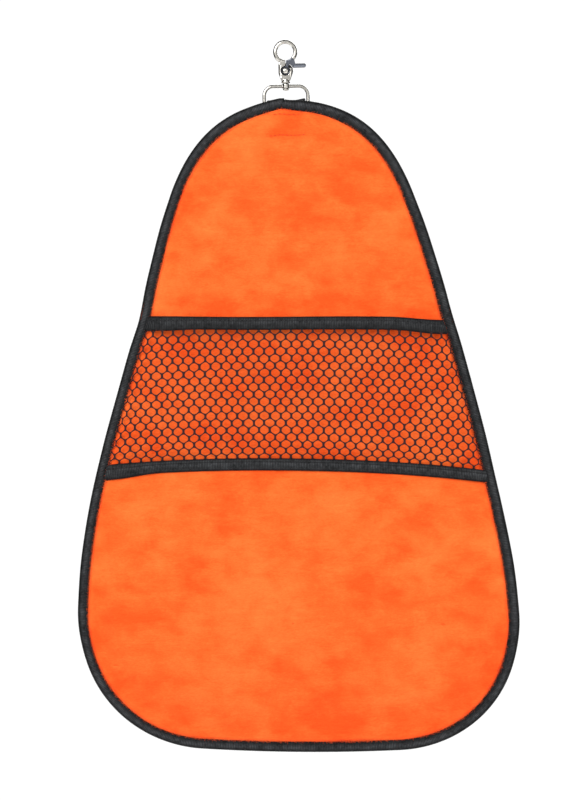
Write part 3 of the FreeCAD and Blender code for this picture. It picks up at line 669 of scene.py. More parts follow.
def lattice(step):
    """Evenly spaced points that fill the outline, in staggered rows."""
    rows = np.arange(BASE_Z, TOP_Z, step * math.sqrt(3) / 2)
    columns = np.arange(BINDING_BOX[0].x, BINDING_BOX[1].x, step)
    x, z = np.meshgrid(columns, rows)
    x = x + np.where(np.arange(len(rows)) % 2 == 0, 0.0, step / 2)[:, None]
    return x.ravel(), z.ravel()


def fill_outline(step, rings):
    """Points inside the outline as rings near its edge and a lattice within, and their triangles."""
    x, z = lattice(step)
    depth, _ = inset_of(x, z)
    inside = depth > rings[-1] + 0.7 * step
    count = int(PERIMETER / step)
    around = np.arange(count) * PERIMETER / count
    edges = [rim_point(around + 0.5 * step * (k % 2), np.full(count, inset))
             for k, inset in enumerate(rings)]
    flat = np.concatenate([*edges, np.stack([x[inside], z[inside]], 1)])
    made = delaunay_2d_cdt([Vector(p) for p in flat], [], [], 0, 1e-6)
    points = np.array([tuple(p) for p in made[0]])
    return points, np.array(made[2])


def tab_row(drop, from_middle):
    """The height of a row of the tab's stitches, which is sewn slightly askew."""
    return 0.05 * from_middle - drop - 0.9


def stitch_dents(x, z, depth):
    """How much rows of stitches and the pocket's lower band pull the pile down."""
    dent = np.zeros_like(x)
    for drop, half, amount in TAB_ROWS:
        beyond = np.maximum(np.abs(x - TAB_CENTRE) - half, 0.0)
        away = z - tab_row(drop, x - TAB_CENTRE)
        dent += amount * np.exp(-((away / 1.4) ** 2) - (beyond / 2.0) ** 2)
    band = BAND_TOP_Z - BAND_HEIGHT / 2 + arch(x)
    dent += 1.5 * np.exp(-(((z - band) / BAND_FADE) ** 2)) * smooth_step(4.0, 9.0, depth)
    return dent


def crown(depth):
    """The pile's height in front of the middle plane, by its distance from the edge."""
    beyond = np.maximum(depth - PILE_START, 0.0)
    swell = (PILE_HALF - RIM_HALF) * (1 - np.exp(-beyond / 1.1)) + CROWN * (1 - np.exp(-beyond / 15.0))
    return RIM_HALF + swell


def inflate(seed, pocket):
    """Cloth simulation of one plush face: sewn down round the edge and along its seams, and pushed out by
    the wadding. Gives a tree of the simulated surface, as heights over a flat start."""
    points, triangles = fill_outline(SIM_STEP, (FIELD_INSET,))
    x, z = points.T
    depth, _ = inset_of(x, z)
    start = -0.9 * (1 - np.exp(-np.maximum(depth - FIELD_INSET, 0) / 9.0))
    start = start + 0.25 * grid_noise(x, z, 23.0, seed)
    mesh = bpy.data.meshes.new("plush_sim")
    flat = np.stack([x, start, z], 1) * MM
    mesh.from_pydata(flat.tolist(), [], triangles.tolist())
    cloth_piece = add_object("plush_sim", mesh)
    held = depth < SEWN_INSET
    for drop, half, _ in TAB_ROWS:
        held |= (np.abs(z - tab_row(drop, x - TAB_CENTRE)) < SEAM_HALF) & (np.abs(x - TAB_CENTRE) < half)
    if pocket:
        held |= np.abs(z - (BAND_TOP_Z - BAND_HEIGHT / 2 + arch(x))) < SEAM_HALF
    group = cloth_piece.vertex_groups.new(name="sewn")
    group.add([int(i) for i in np.nonzero(held)[0]], 1.0, "REPLACE")
    modifier = cloth_piece.modifiers.new("cloth", "CLOTH")
    settings = modifier.settings
    settings.vertex_group_mass = "sewn"
    for setting, value in PLUSH_CLOTH.items():
        setattr(settings, setting, value)
    settings.effector_weights.gravity = 0.0
    modifier.collision_settings.use_collision = False
    scene = bpy.context.scene
    for step in range(SIM_FRAMES):
        scene.frame_set(step + 1)
    ready = evaluated(cloth_piece)
    after = np.empty(len(ready.data.vertices) * 3, np.float32)
    ready.data.vertices.foreach_get("co", after)
    after = after.reshape(-1, 3) / MM
    scene.frame_set(1)
    bpy.data.objects.remove(cloth_piece)
    heights = -after[:, 1]
    swell = np.abs(heights)
    heights = np.clip(swell - np.quantile(swell[~held], 0.5), -SIM_SWELL, SIM_SWELL)
    heights[held] = 0.0
    settled = np.stack([x, heights, z], 1)
    return BVHTree.FromPolygons([Vector(p) for p in settled], triangles.tolist())


def read_heights(tree, x, z):
    """Heights of a simulated surface under points of the panel."""
    if tree is None:
        return 0.5 * grid_noise(x, z, 38.0, 3)
    below = Vector((0.0, 1.0, 0.0))
    heights = np.zeros(len(x))
    for i, (a, b) in enumerate(zip(x, z)):
        hit = tree.ray_cast(Vector((a, -50.0, b)), below)[0]
        if hit is not None:
            heights[i] = hit.y
    return heights


def plush_face(name, node, side, seed, pocket):
    """One plush face as a closed shell: its crowned pile in front and a plain back against the wadding."""
    points, triangles = fill_outline(PLUSH_STEP, RIM_RINGS)
    x, z = points.T
    depth, along = inset_of(x, z)
    tree = inflate(seed, pocket)
    field = smooth_step(FIELD_INSET, 16.0, depth)
    near = np.exp(-np.maximum(depth - FIELD_INSET, 0.0) / 9.0) * smooth_step(6.0, 7.5, depth)
    gathers = grid_noise(along, np.zeros_like(along) + depth * 0.3, 11.0, seed + 2)
    snug = depth - leg_shift(along) * smooth_step(3.0, TAPE_LEG, depth)
    height = crown(snug)
    height += field * 0.75 * read_heights(tree, x, z)
    height += 0.45 * field * grid_noise(x, z, 52.0, seed + 3)
    height += 0.16 * smooth_step(6.2, 8.0, depth) * grid_noise(x, z, 7.5, seed + 4, 1.6)
    height += 0.13 * smooth_step(6.2, 7.2, depth) * grid_noise(x, z, 3.4, seed + 5, 1.4)
    height += 0.5 * near * gathers
    if pocket:
        height -= stitch_dents(x, z, depth)
    front = np.stack([x, MID_Y - side * height, z], 1)
    back = np.stack([x, np.full_like(x, MID_Y - side * (CORE_HALF + 0.1)), z], 1)

    rim = [i for i in np.argsort(along) if depth[i] < RIM_RINGS[0] + 0.05]
    plain_points, plain_triangles, plain = back_filling(back[rim][:, [0, 2]])
    size = len(front)
    back_points = np.stack([plain_points[:, 0], np.full(len(plain_points), back[0, 1]),
                            plain_points[:, 1]], 1)
    faces = triangles.tolist() + (plain_triangles[:, ::-1] + size).tolist()
    faces += rim_quads(rim, [i + size for i in plain])
    piece = build(name, np.concatenate([front, back_points]), faces, PLUSH_FRONT)
    outwards(piece)
    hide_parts(node)
    return piece


def back_filling(ring):
    """Coarse points and triangles inside a given closed ring, and the ring's own numbers among them."""
    x, z = lattice(BACK_STEP)
    depth, _ = inset_of(x, z)
    within = depth > BACK_INSET
    inner = np.stack([x[within], z[within]], 1)
    made = delaunay_2d_cdt([Vector(p) for p in np.concatenate([ring, inner])], [], [], 0, 1e-6)
    points = np.array([tuple(p) for p in made[0]])
    origin = {first: k for k, sources in enumerate(made[3]) for first in sources}
    return points, np.array(made[2]), [origin[k] for k in range(len(ring))]


# ---------------------------------------------------------------- fuzz

FIBRE_RADII = (0.055, 0.042)


def fuzz(name, side, count, seed):
    """Pile fibres that stand over the tape's inner edge, as thin closed spikes."""
    draw = np.random.default_rng(seed)
    along = draw.uniform(0, PERIMETER, count * 2)
    where = grid_noise(along, along * 0.0, 26.0, seed)
    turn = along / PERIMETER * math.tau
    thick = 0.88 + 0.6 * where + 0.25 * np.cos(turn - 0.8) + 0.25 * np.cos(2 * turn - 2.6)
    thick -= 0.55 * np.exp((np.cos(turn) - 1.0) / 0.05)
    along = along[draw.uniform(0, 1, len(along)) < thick][:count]
    count = len(along)
    inset = TAPE_LEG + leg_shift(along) + draw.uniform(-0.1, 1.3, count)
    root = rim_point(along, inset)
    normal = rim_point(along, np.zeros(count)) - rim_point(along, np.ones(count))
    tangent = np.stack([normal[:, 1], -normal[:, 0]], 1)
    clump = grid_noise(along, along * 0.0, 2.6, seed + 1)
    lean = 0.9 * clump + draw.normal(0, 0.6, count)
    length = draw.uniform(0.5, 1.9, count) * (1.0 + 0.4 * clump)
    rise = draw.uniform(0.35, 0.9, count)
    base_y = TAPE_HALF + 0.2 + draw.uniform(-0.3, 0.5, count) + 0.25 * (inset - TAPE_LEG - leg_shift(along))
    points, faces = [], []
    reach = np.stack([0.0 * length, 0.45 * length, length])
    lift = np.stack([0.0 * rise, rise * 0.8, rise * 0.75])
    for k in range(count):
        heading = normal[k] + tangent[k] * lean[k]
        heading /= np.hypot(*heading)
        across = np.array([heading[1], -heading[0]])
        first = len(points)
        for level, radius in enumerate(FIBRE_RADII):
            centre = root[k] + heading * reach[level, k]
            y = base_y[k] + lift[level, k]
            for corner in range(3):
                angle = math.tau * corner / 3
                spot = centre + across * radius * math.cos(angle)
                points.append((spot[0], MID_Y - side * (y + radius * math.sin(angle)), spot[1]))
        tip = root[k] + heading * reach[2, k]
        points.append((tip[0], MID_Y - side * (base_y[k] + lift[2, k]), tip[1]))
        for corner in range(3):
            after = (corner + 1) % 3
            faces.append((first + corner, first + after, first + 3 + after, first + 3 + corner))
            faces.append((first + 3 + corner, first + 3 + after, first + 6))
        faces.append((first + 2, first + 1, first))
    piece = build(name, points, faces, PLUSH_FRONT)
    outwards(piece)
    return piece


# ---------------------------------------------------------------- tape

# painted shade over the folded tape's fold and edges, by inset
SHADE_INSETS = (0.0, 0.8, 1.5, 2.1, 3.5, 4.2, 5.2, 6.5)
SHADES = (1.0, 0.95, 0.55, 0.0, 0.05, 0.42, 0.74, 1.0)

# the lap at the top, and the rows of stitches
LAP_LENGTH = 13.0
LAP_END = -4.8
STITCH_PITCH = 3.1
STITCH_SIZE = (0.27, 0.2)
STITCH_RINGS = ((0.0, 0.25), (0.18, 0.85), (0.5, 1.0), (0.82, 0.85), (1.0, 0.25))
STITCH_CORNERS = 6
SEAM_INSET = 4.45

# the uneven edge that the folded tape's legs have
WANDER_AT = np.linspace(-60.0, PERIMETER + 60.0, 190)
WANDER = np.array([noise.noise(Vector((a / 24.0, 4.2, 1.7))) for a in WANDER_AT])


def tape_section():
    """The folded tape's closed section, as insets and depths from the middle plane, front leg to back leg
    on the outside and back on the inside."""
    outer = [(TAPE_LEG, TAPE_HALF - 0.38), (TAPE_LEG - 0.12, TAPE_HALF - 0.1), (TAPE_LEG - 0.6, TAPE_HALF),
             (5.3, TAPE_HALF + 0.04), (4.45, TAPE_HALF - 0.16), (3.6, TAPE_HALF + 0.05),
             (2.5, TAPE_HALF - 0.06), (1.5, TAPE_HALF - 0.45), (0.7, TAPE_HALF - 1.15),
             (0.15, TAPE_HALF - 2.2)]
    inner = [(TAPE_LEG - 0.15, TAPE_HALF - 0.72), (4.4, TAPE_HALF - 0.85), (2.6, TAPE_HALF - 0.9),
             (1.3, TAPE_HALF - 1.7), (0.95, 0.9)]
    front = outer + [(0.0, 0.0)] + [(i, -d) for i, d in outer[::-1]]
    behind = [(i, -d) for i, d in inner] + [(i, d) for i, d in inner[::-1]]
    return np.array(front + behind), len(front)


def ribbed(name, section, outside, starts, ends, material, relief, pitch, closed, grow=0.0, body="muff"):
    """Sweeps a section along the outline. Ribs cross the tape, and the ends may be cut at a slant."""
    length = (ends - starts).mean()
    stations = int(round(abs(length) / pitch)) * RIB_STATIONS
    share = np.arange(stations) / (stations if closed else stations - 1)
    along = starts[None, :] + share[:, None] * (ends - starts)[None, :]
    insets = np.tile(section[:, 0], (stations, 1))
    depths = np.tile(section[:, 1], (stations, 1))
    wander = 0.22 * np.interp(along, WANDER_AT, WANDER) + leg_shift(along)
    free = smooth_step(3.0, TAPE_LEG, insets)
    outside_lift = grow * (0.35 + 0.65 * share[:, None] ** 2)
    insets = insets + wander * free - outside_lift
    rib = ribs(stations, -1.0, 0.5) * relief
    weight = np.zeros(len(section))
    weight[:outside] = 1.0
    weight[0] = weight[outside - 1] = 0.3
    slope = np.gradient(section, axis=0)
    facing = np.stack([-np.abs(slope[:, 1]), np.abs(slope[:, 0]) * np.sign(section[:, 1])], 1)
    facing /= np.maximum(np.hypot(*facing.T), 1e-6)[:, None]
    insets = insets + rib[:, None] * weight * facing[:, 0]
    depths = depths + rib[:, None] * weight * facing[:, 1]
    depths = depths + 0.6 * outside_lift * np.sign(depths) * smooth_step(0.0, 1.0, np.abs(depths))
    flat = rim_point(along.ravel(), insets.ravel())
    points = np.stack([flat[:, 0], MID_Y - depths.ravel(), flat[:, 1]], 1)
    if closed:
        faces = tube_faces(stations, len(section), True).tolist()
    else:
        faces = capped_tube(stations, len(section))
    # painted shade over the tape's fold and edges, by inset
    shaded = np.interp(section[:, 0], SHADE_INSETS, SHADES)
    return mark_painted_shade(outwards(build(name, points, faces, material, body)), stations, shaded)


def mark_painted_shade(piece, stations, shaded):
    """Keeps the painted shade for the tape's material: in the ribs' grooves and over its shaded edges."""
    groove = ribs(stations, 1.0, 0.0)[:, None]
    depth = np.maximum(groove, shaded[None, :]).astype(np.float32)
    piece.data.attributes.new("groove", "FLOAT", "POINT").data.foreach_set("value", depth.ravel())
    return piece


def make_binding():
    section, outside = tape_section()
    ends = np.full(len(section), PERIMETER)
    ring = ribbed("edge_tape", section, outside, 0 * ends, ends, TAPE, 0.13, RIB_PITCH, True)
    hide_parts("edge_binding")
    slant = 0.55 * (section[:, 0] - 3.0)
    starts = np.full(len(section), -LAP_LENGTH) - slant * 0.4
    lap = ribbed("edge_tape_lap", section, outside, starts, LAP_END - slant, TAPE, 0.03, RIB_PITCH,
                 False, 0.8)


def capsule_path(points_at, length, pitch, size, face):
    """Points and faces of a row of stitches. points_at gives a place and a lift for distances along."""
    count = int(length / pitch)
    points, faces = [], []
    for k in range(count):
        begin = (k + 0.14) * length / count
        end = (k + 0.86) * length / count
        first = len(points)
        ahead = points_at(end) - points_at(begin)
        ahead /= np.linalg.norm(ahead)
        across = np.cross(ahead, face)
        for share, swell in STITCH_RINGS:
            centre = points_at(begin + share * (end - begin))
            centre = centre + face * (math.sin(math.pi * share) * 0.22 * size[1] - 0.1)
            for corner in range(STITCH_CORNERS):
                angle = math.tau * corner / STITCH_CORNERS
                points.append(centre + across * size[0] * swell * math.cos(angle)
                              + face * size[1] * swell * math.sin(angle))
        last = first + (len(STITCH_RINGS) - 1) * STITCH_CORNERS
        for low in range(first, last, STITCH_CORNERS):
            faces += ring_quads(low, STITCH_CORNERS)
        faces.append(tuple(range(first + STITCH_CORNERS - 1, first - 1, -1)))
        faces.append(tuple(range(last, last + STITCH_CORNERS)))
    return points, faces


def make_edge_stitching():
    rows = []
    for side in (1, -1):
        def at(s, side=side):
            flat = rim_point(np.array([s]), np.array([SEAM_INSET]))[0]
            return np.array([flat[0], MID_Y - side * TAPE_HALF, flat[1]])

        rows.append(capsule_path(at, PERIMETER, STITCH_PITCH, STITCH_SIZE, np.array([0.0, -side, 0.0])))
    piece = outwards(build("edge_stitches", *joined(rows), BLACK_THREAD))
    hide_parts("edge_stitching")


WADDING_STEP = 6.0
WADDING_RINGS = (2.0, 3.5, 6.0)


def make_wadding():
    """The filling: a soft-edged pad that stays between the two plush faces."""
    points, triangles = fill_outline(WADDING_STEP, WADDING_RINGS)
    x, z = points.T
    depth, along = inset_of(x, z)
    thick = (CORE_HALF - 0.15) * smooth_step(1.0, 6.0, depth) ** 0.5
    thick = thick - 0.12 * (1 + grid_noise(x, z, 14.0, 8)) * smooth_step(2.5, 6.0, depth)
    thick = np.maximum(thick, 0.2)
    size = len(points)
    both = np.concatenate([np.stack([x, MID_Y - thick, z], 1), np.stack([x, MID_Y + thick, z], 1)])
    rim = [i for i in np.argsort(along) if depth[i] < WADDING_RINGS[0] + 0.1]
    faces = triangles.tolist() + (triangles[:, ::-1] + size).tolist()
    faces += rim_quads(rim, [i + size for i in rim])
    piece = outwards(build("wadding_pad", both, faces, WADDING))
    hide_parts("insulating_wadding")


# ---------------------------------------------------------------- pocket

# the net's cells, and each side's neighbour in half columns and rows
CELL_COLUMNS = 22
SIDE_SAMPLES = 3
BESIDE = ((2, 0), (1, 1), (-1, 1), (-2, 0), (-1, -1), (1, -1))

# the hem and the base tape, with the painted shade that darkens them across their height
HEM_RELIEF = 0.11
HEM_END_INSET = {-1: 6.0, 1: 7.0}
MOUTH_ABOVE = MOUTH_Z - BAND_TOP_Z
STRIP_HEIGHTS = (-1.0, -0.85, -0.62, -0.3, 0.0, 0.25, 0.42, 0.55, 0.8, 1.0)
STRIP_SHADES = (1.0, 0.80, 0.50, 0.40, 0.15, 0.05, 0.75, 0.10, 0.55, 1.0)

# how the flat net is laid on the pocket
NET_SHIFT = (0.2, 1.2)
NET_STEP = 0.2
NET_SEWN = 3.5
MAP_ROWS = 74
MAP_COLUMNS = 270
MAP_REACH = 1.06
PULL = 0.55


def net_rise(inset, above):
    """How far the net stands off the pile, by its distance from the edge and from the lower band."""
    side = 1 - np.exp(-np.maximum(inset - 5.6, 0.0) / 7.5)
    base = 1 - np.exp(-np.maximum(above + 1.0, 0.0) / 9.0)
    return NET_DEPTH * side * base


def net_place(x, z, above):
    inset = side_inset(x, z)
    under = 1.6 * smooth_step(7.5, 4.5, inset)
    return FACE_Y + 0.2 + under - net_rise(inset, above)


class NetMap:
    """Lays flat net, p across and q up, on the pocket. It keeps its lengths, so it narrows where it dives."""

    def __init__(self):
        self.above = np.linspace(-BAND_HEIGHT, MOUTH_Z + 2 * HEM_HALF - BAND_TOP_Z, MAP_ROWS)
        self.sides = np.linspace(0.0, MAP_REACH, MAP_COLUMNS)
        climb = np.gradient(net_rise(60.0, self.above), self.above)
        run = np.concatenate([[0.0], np.cumsum(np.diff(self.above) * np.hypot(1, climb[1:]))])
        self.up = run - np.interp(0.0, self.above, run)
        self.rows = []
        for above in self.above:
            z = BAND_TOP_Z + above
            x = self.sides * (float(half_width(z)) - NET_SEWN)
            y = net_rise(side_inset(x + CENTRE_X, np.full_like(x, z)), above)
            self.rows.append((np.concatenate([[0.0], np.cumsum(np.hypot(np.diff(x), np.diff(y)))]), x))

    def reach(self, q):
        """How far the net runs from its middle to the side, at a height up it."""
        above = np.interp(q, self.up, self.above)
        ends = [np.interp(1.0, self.sides, lengths) for lengths, _ in self.rows]
        return float(np.interp(above, self.above, ends))

    def __call__(self, p, q):
        above = np.interp(q, self.up, self.above)
        row = np.clip(np.searchsorted(self.above, above) - 1, 0, len(self.above) - 2)
        share = (above - self.above[row]) / (self.above[row + 1] - self.above[row])
        x = np.zeros_like(p)
        for k in np.unique(row):
            mine = row == k
            low = np.interp(np.abs(p[mine]), *self.rows[k])
            high = np.interp(np.abs(p[mine]), *self.rows[k + 1])
            x[mine] = low + (high - low) * share[mine]
        x = CENTRE_X + np.sign(p) * x
        z = BAND_TOP_Z + above + arch(x)
        return np.stack([x, net_place(x, z, above), z], 1)


def cell_loops():
    """A cell's border and its rounded hole, as matching loops about its centre."""
    rise = CELL_ROW - CELL_LEG
    wide = CELL_WIDE / 2
    tall = CELL_LEG / 2 + rise
    corners = [(wide, -CELL_LEG / 2), (wide, CELL_LEG / 2), (0, tall),
               (-wide, CELL_LEG / 2), (-wide, -CELL_LEG / 2), (0, -tall)]
    slope = math.atan2(rise, wide)
    leg_x = wide - THREAD_LEG
    drop = THREAD_SLANT / math.cos(slope)
    leg_y = CELL_LEG / 2 + THREAD_LEG * math.tan(slope) - drop
    inner = [(leg_x, -leg_y), (leg_x, leg_y), (0, tall - drop), (-leg_x, leg_y), (-leg_x, -leg_y),
             (0, drop - tall)]

    def sampled(loop):
        loop = np.array(loop)
        after = np.roll(loop, -1, axis=0)
        shares = np.arange(SIDE_SAMPLES) / SIDE_SAMPLES
        return np.concatenate([a + shares[:, None] * (b - a) for a, b in zip(loop, after)])

    hole = sampled(inner)
    return sampled(corners), 0.25 * np.roll(hole, 1, 0) + 0.5 * hole + 0.25 * np.roll(hole, -1, 0)


def net_cells(side, place):
    """The flat centres of the cells on one side of the pocket, by row and by column in half cells."""
    cells = {}
    for j in range(-1, int(place.up[-1] / CELL_ROW) + 1):
        for i in range(-CELL_COLUMNS, CELL_COLUMNS + 1):
            p = (i + 0.5 * (j % 2)) * CELL_WIDE + NET_SHIFT[0]
            q = j * CELL_ROW + NET_SHIFT[1]
            if p * side < -CELL_WIDE:
                continue
            spot = place(np.array([p]), np.array([q]))[0]
            if abs(p) > place.reach(q) - 0.2 * CELL_WIDE or spot[2] > MOUTH_Z + 0.5:
                continue
            cells[2 * i + j % 2, j] = np.array([p, q])
    return cells


class Pulls:
    """Small pulls in the yarn, the same for all cells that share a point."""

    def __init__(self):
        self.known = {}

    def __call__(self, flat):
        pulled = []
        for a, b in flat:
            key = (round(a * 50), round(b * 50))
            if key not in self.known:
                spot = Vector((a / 9.0, b / 9.0, 0.0))
                self.known[key] = (PULL * noise.noise(spot), PULL * noise.noise(spot + Vector((9, 4, 2))))
            pulled.append((a + self.known[key][0], b + self.known[key][1]))
        return np.array(pulled)


def knit(cells):
    """Rounded threads round every cell: their flat places, their lifts and their faces."""
    border, hole = cell_loops()
    around = len(border)
    pulled = Pulls()
    flat, lift, faces = [], [], []
    for (column, row), centre in cells.items():
        edge = pulled(border + centre)
        rim = pulled(hole + centre)
        first = len(flat) * around
        last = first + (len(THREAD_TURNS) - 1) * around
        for turn in THREAD_TURNS:
            share = math.cos(turn)
            flat.append(edge * (1 - share) + rim * share)
            lift.append(np.full(around, math.sin(turn) * THREAD_THICK))
        for low in range(first, last, around):
            faces += ring_quads(low, around)
        for k in range(around):
            after = (k + 1) % around
            across, along = BESIDE[k // SIDE_SAMPLES]
            if (column + across, row + along) not in cells:
                faces.append((first + k, last + k, last + after, first + after))
    return np.concatenate(flat), np.concatenate(lift), faces


def cut_at_middle(piece, side):
    """Cuts a half of the net straight along the pocket's middle, where the two halves meet, and closes it."""
    bm = bmesh.new()
    bm.from_mesh(piece.data)
    bmesh.ops.remove_doubles(bm, verts=bm.verts, dist=0.00002)
    whole = [*bm.verts, *bm.edges, *bm.faces]
    bmesh.ops.bisect_plane(bm, geom=whole, dist=1e-7, plane_co=(CENTRE_X * MM, 0, 0), plane_no=(side, 0, 0),
                           clear_inner=True)
    bmesh.ops.holes_fill(bm, edges=[edge for edge in bm.edges if edge.is_boundary])
    bmesh.ops.recalc_face_normals(bm, faces=bm.faces)
    bm.to_mesh(piece.data)
    bm.free()
    piece.data.shade_smooth()


def make_net_half(side, place):
    """The net on one side of the pocket's middle, with its flat size and the area of its yarn."""
    cells = net_cells(side, place)
    flat, lift, faces = knit(cells)
    at = place(flat[:, 0], flat[:, 1])
    right = place(flat[:, 0] + NET_STEP, flat[:, 1]) - at
    up = place(flat[:, 0], flat[:, 1] + NET_STEP) - at
    normal = np.cross(right, up)
    normal /= np.maximum(np.linalg.norm(normal, axis=1), 1e-9)[:, None]
    normal *= -np.sign(normal[:, 1:2])
    word = "right" if side > 0 else "left"
    piece = build(f"pocket_net_{word}", at + normal * lift[:, None], faces, NET, None)
    cut_at_middle(piece, side)
    reach = np.abs(list(cells.values())).max(0) + np.array([CELL_WIDE, CELL_ROW]) / 2
    count = sum(centre[0] * side > 0 for centre in cells.values())
    return piece, reach * MM, count * yarn_area() * MM**2


def yarn_area():
    """The area of one cell's yarn opened flat, which is half of its rounded surface."""
    border, hole = cell_loops()
    rings = []
    for turn in THREAD_TURNS:
        flat = border * (1 - math.cos(turn)) + hole * math.cos(turn)
        rings.append(np.column_stack([flat, np.full(len(flat), math.sin(turn) * THREAD_THICK)]))
    area = 0.0
    for low, high in zip(rings, rings[1:]):
        crossed = np.cross(np.roll(high, -1, 0) - low, high - np.roll(low, -1, 0))
        area += np.linalg.norm(crossed, axis=1).sum() / 2
    return area / 2


def follow_mouth(piece):
    """Bakes the piece's placement into its mesh."""
    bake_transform(piece)
    return piece


def hem_line(side, count):
    """The hem's middle line, from the pocket's middle to its side."""
    end_inset = HEM_END_INSET[side]
    half = float(half_width(MOUTH_Z)) - end_inset / math.cos(SIDE_ANGLE)
    x = CENTRE_X + side * np.linspace(0.0, half, count)
    y = net_place(x, np.full_like(x, MOUTH_Z), MOUTH_ABOVE)
    return x, y


def strip_section(half, thick):
    """A flat folded tape's closed section, height and depth, front first."""
    front = [(half, 0.0), (half - 0.25, 0.55), (half - 0.9, 0.9), (half * 0.55, 1.0), (half * 0.42, 0.78),
             (half * 0.25, 1.0), (0.0, 1.0), (-half * 0.3, 0.98), (-half * 0.62, 1.0), (-half + 0.9, 0.9),
             (-half + 0.25, 0.55), (-half, 0.0)]
    back = [(-half + 0.25, -0.55), (-half + 0.9, -0.85), (0.0, -0.9), (half - 0.9, -0.85),
            (half - 0.25, -0.55)]
    section = np.array(front + back)
    section[:, 1] *= thick
    return section, len(front)


def strip(name, x, y, z, half, thick, relief, material, body, widen=1.0):
    """Sweeps a flat ribbed tape along a line on the panel, with its ends cut along the panel's sides. Widen
    may vary along it."""
    section, outside = strip_section(half, thick)
    count = len(x)
    rib = ribs(count, -1.0, 0.5) * relief
    slope = np.gradient(y) / np.maximum(np.abs(np.gradient(x)), 1e-6)
    tilt = np.arctan(slope) * np.sign(np.gradient(x))
    weight = np.zeros(len(section))
    weight[1:outside - 1] = 1.0
    depth = section[None, :, 1] + rib[:, None] * weight
    fall = np.gradient(z) / np.gradient(x)
    height = section[None, :, 0] * np.broadcast_to(widen, count)[:, None]
    px = x[:, None] + np.sin(tilt)[:, None] * depth - height * np.sin(np.arctan(fall))[:, None]
    outer = np.abs(x - CENTRE_X)
    near_end = smooth_step(0.93, 1.0, outer / outer.max()) * np.sign(x - CENTRE_X)
    px = px - near_end[:, None] * height * math.tan(SIDE_ANGLE)
    py = y[:, None] - np.cos(tilt)[:, None] * depth
    pz = z[:, None] + height * np.cos(np.arctan(fall))[:, None]
    points = np.stack([px.ravel(), py.ravel(), pz.ravel()], 1)
    faces = capped_tube(count, len(section))
    # painted shade across the strip's height, darkest at its edges and its stitch groove
    shaded = np.interp(section[:, 0] / half, STRIP_HEIGHTS, STRIP_SHADES)
    return mark_painted_shade(outwards(build(name, points, faces, material, body)), count, shaded)


def stitch_row(name, x, y, z, material, body, lift=0.0):
    """A row of stitches along a line."""
    steps = np.concatenate([[0.0], np.cumsum(np.sqrt(np.diff(x)**2 + np.diff(y)**2 + np.diff(z)**2))])

    def at(s):
        return np.array([np.interp(s, steps, x), np.interp(s, steps, y) - lift, np.interp(s, steps, z)])

    points, faces = capsule_path(at, steps[-1], STITCH_PITCH * 0.9, STITCH_SIZE, np.array([0.0, -1.0, 0.0]))
    return outwards(build(name, points, faces, material, body))


def make_hem(side, word):
    """Half of the free hem at the pocket's mouth, and its stitches."""
    count = int((MOUTH_BOX[1].x - MOUTH_BOX[0].x) / 2 / RIB_PITCH) * RIB_STATIONS
    x, y = hem_line(side, count)
    aside = x - CENTRE_X
    droop = 1.6 * smooth_step(60.0, 92.0, aside)
    top = MOUTH_Z + HEM_HALF + 0.25 * np.sin(aside / 23.0) - droop
    widen = 1.12 + 0.16 * smooth_step(-62.0, -88.0, aside)
    widen += 0.08 * smooth_step(70.0, 92.0, aside)
    z = top - HEM_HALF * widen
    hem = strip(f"pocket_hem_{word}", x, y, z, HEM_HALF, 0.95, HEM_RELIEF, SHADED_HEM_TAPE, None, widen)
    follow_mouth(hem)
    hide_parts("pocket_top_binding")
    seam_z = z + HEM_HALF * widen * 0.42
    seam = stitch_row(f"pocket_hem_stitches_{word}", x[3:], y[3:], seam_z[3:], BLACK_THREAD, None, 0.85)
    follow_mouth(seam)
    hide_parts("pocket_top_stitching")
    return hem, seam


def make_base_band():
    """The arched tape that closes the pocket's lower edge, and its two rows of stitches."""
    half = float(half_width(BAND_TOP_Z - BAND_HEIGHT)) - 5.6
    count = int(2 * half / RIB_PITCH) * RIB_STATIONS
    x = CENTRE_X + np.linspace(-half, half, count)
    widen = 1.0 + 0.28 * smooth_step(-88.0, -122.0, x - CENTRE_X)
    z = BAND_TOP_Z - widen * BAND_HEIGHT / 2 + arch(x)
    y = FACE_Y - 0.9 + 1.3 * smooth_step(10.0, 5.0, side_inset(x, z))
    band = strip("pocket_base_band", x, y, z, BAND_HEIGHT / 2, 1.0, HEM_RELIEF, TAPE, "muff", widen)
    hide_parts("pocket_bottom_binding")
    x, y, z = x[6:-6], y[6:-6], z[6:-6]
    for name, height in (("pocket_base_stitches_upper", 0.55), ("pocket_base_stitches_lower", -0.62)):
        row = stitch_row(name, x, y, z + height * BAND_HEIGHT / 2, BLACK_THREAD, "muff", 0.95)
        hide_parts("pocket_bottom_stitching")


def make_pocket():
    place = NetMap()
    for side, word in ((-1, "left"), (1, "right")):
        net, cut, yarn = make_net_half(side, place)
        follow_mouth(net)
        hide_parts("pocket_mesh")
        hem, seam = make_hem(side, word)
    make_base_band()


# ---------------------------------------------------------------- webbing tab

# the strap's thickness, the outer faces of its two legs, and the loop's bar that it is folded round
WEB_BOX = box_mm("webbing_tab")
STRAP_THICK = 1.4
STRAP_BACK = 0.15
STRAP_FRONT = -2.85
STRAP_SLACK = 0.05
STRAP_JOIN = -40.9
STRAP_STEP = 0.42
STRAP_SECTION = ((-1.0, 0.0), (-0.985, 0.75), (-0.94, 1.0), (-0.5, 0.97), (0.0, 1.0), (0.5, 0.97),
                 (0.94, 1.0), (0.985, 0.75), (1.0, 0.0), (0.985, -0.75), (0.94, -1.0), (0.0, -1.0),
                 (-0.94, -1.0), (-0.985, -0.75))
BAR_DROP = 2.85
BAR_Z = WEB_BOX[1].z - BAR_DROP
BAR_RADIUS = 1.4


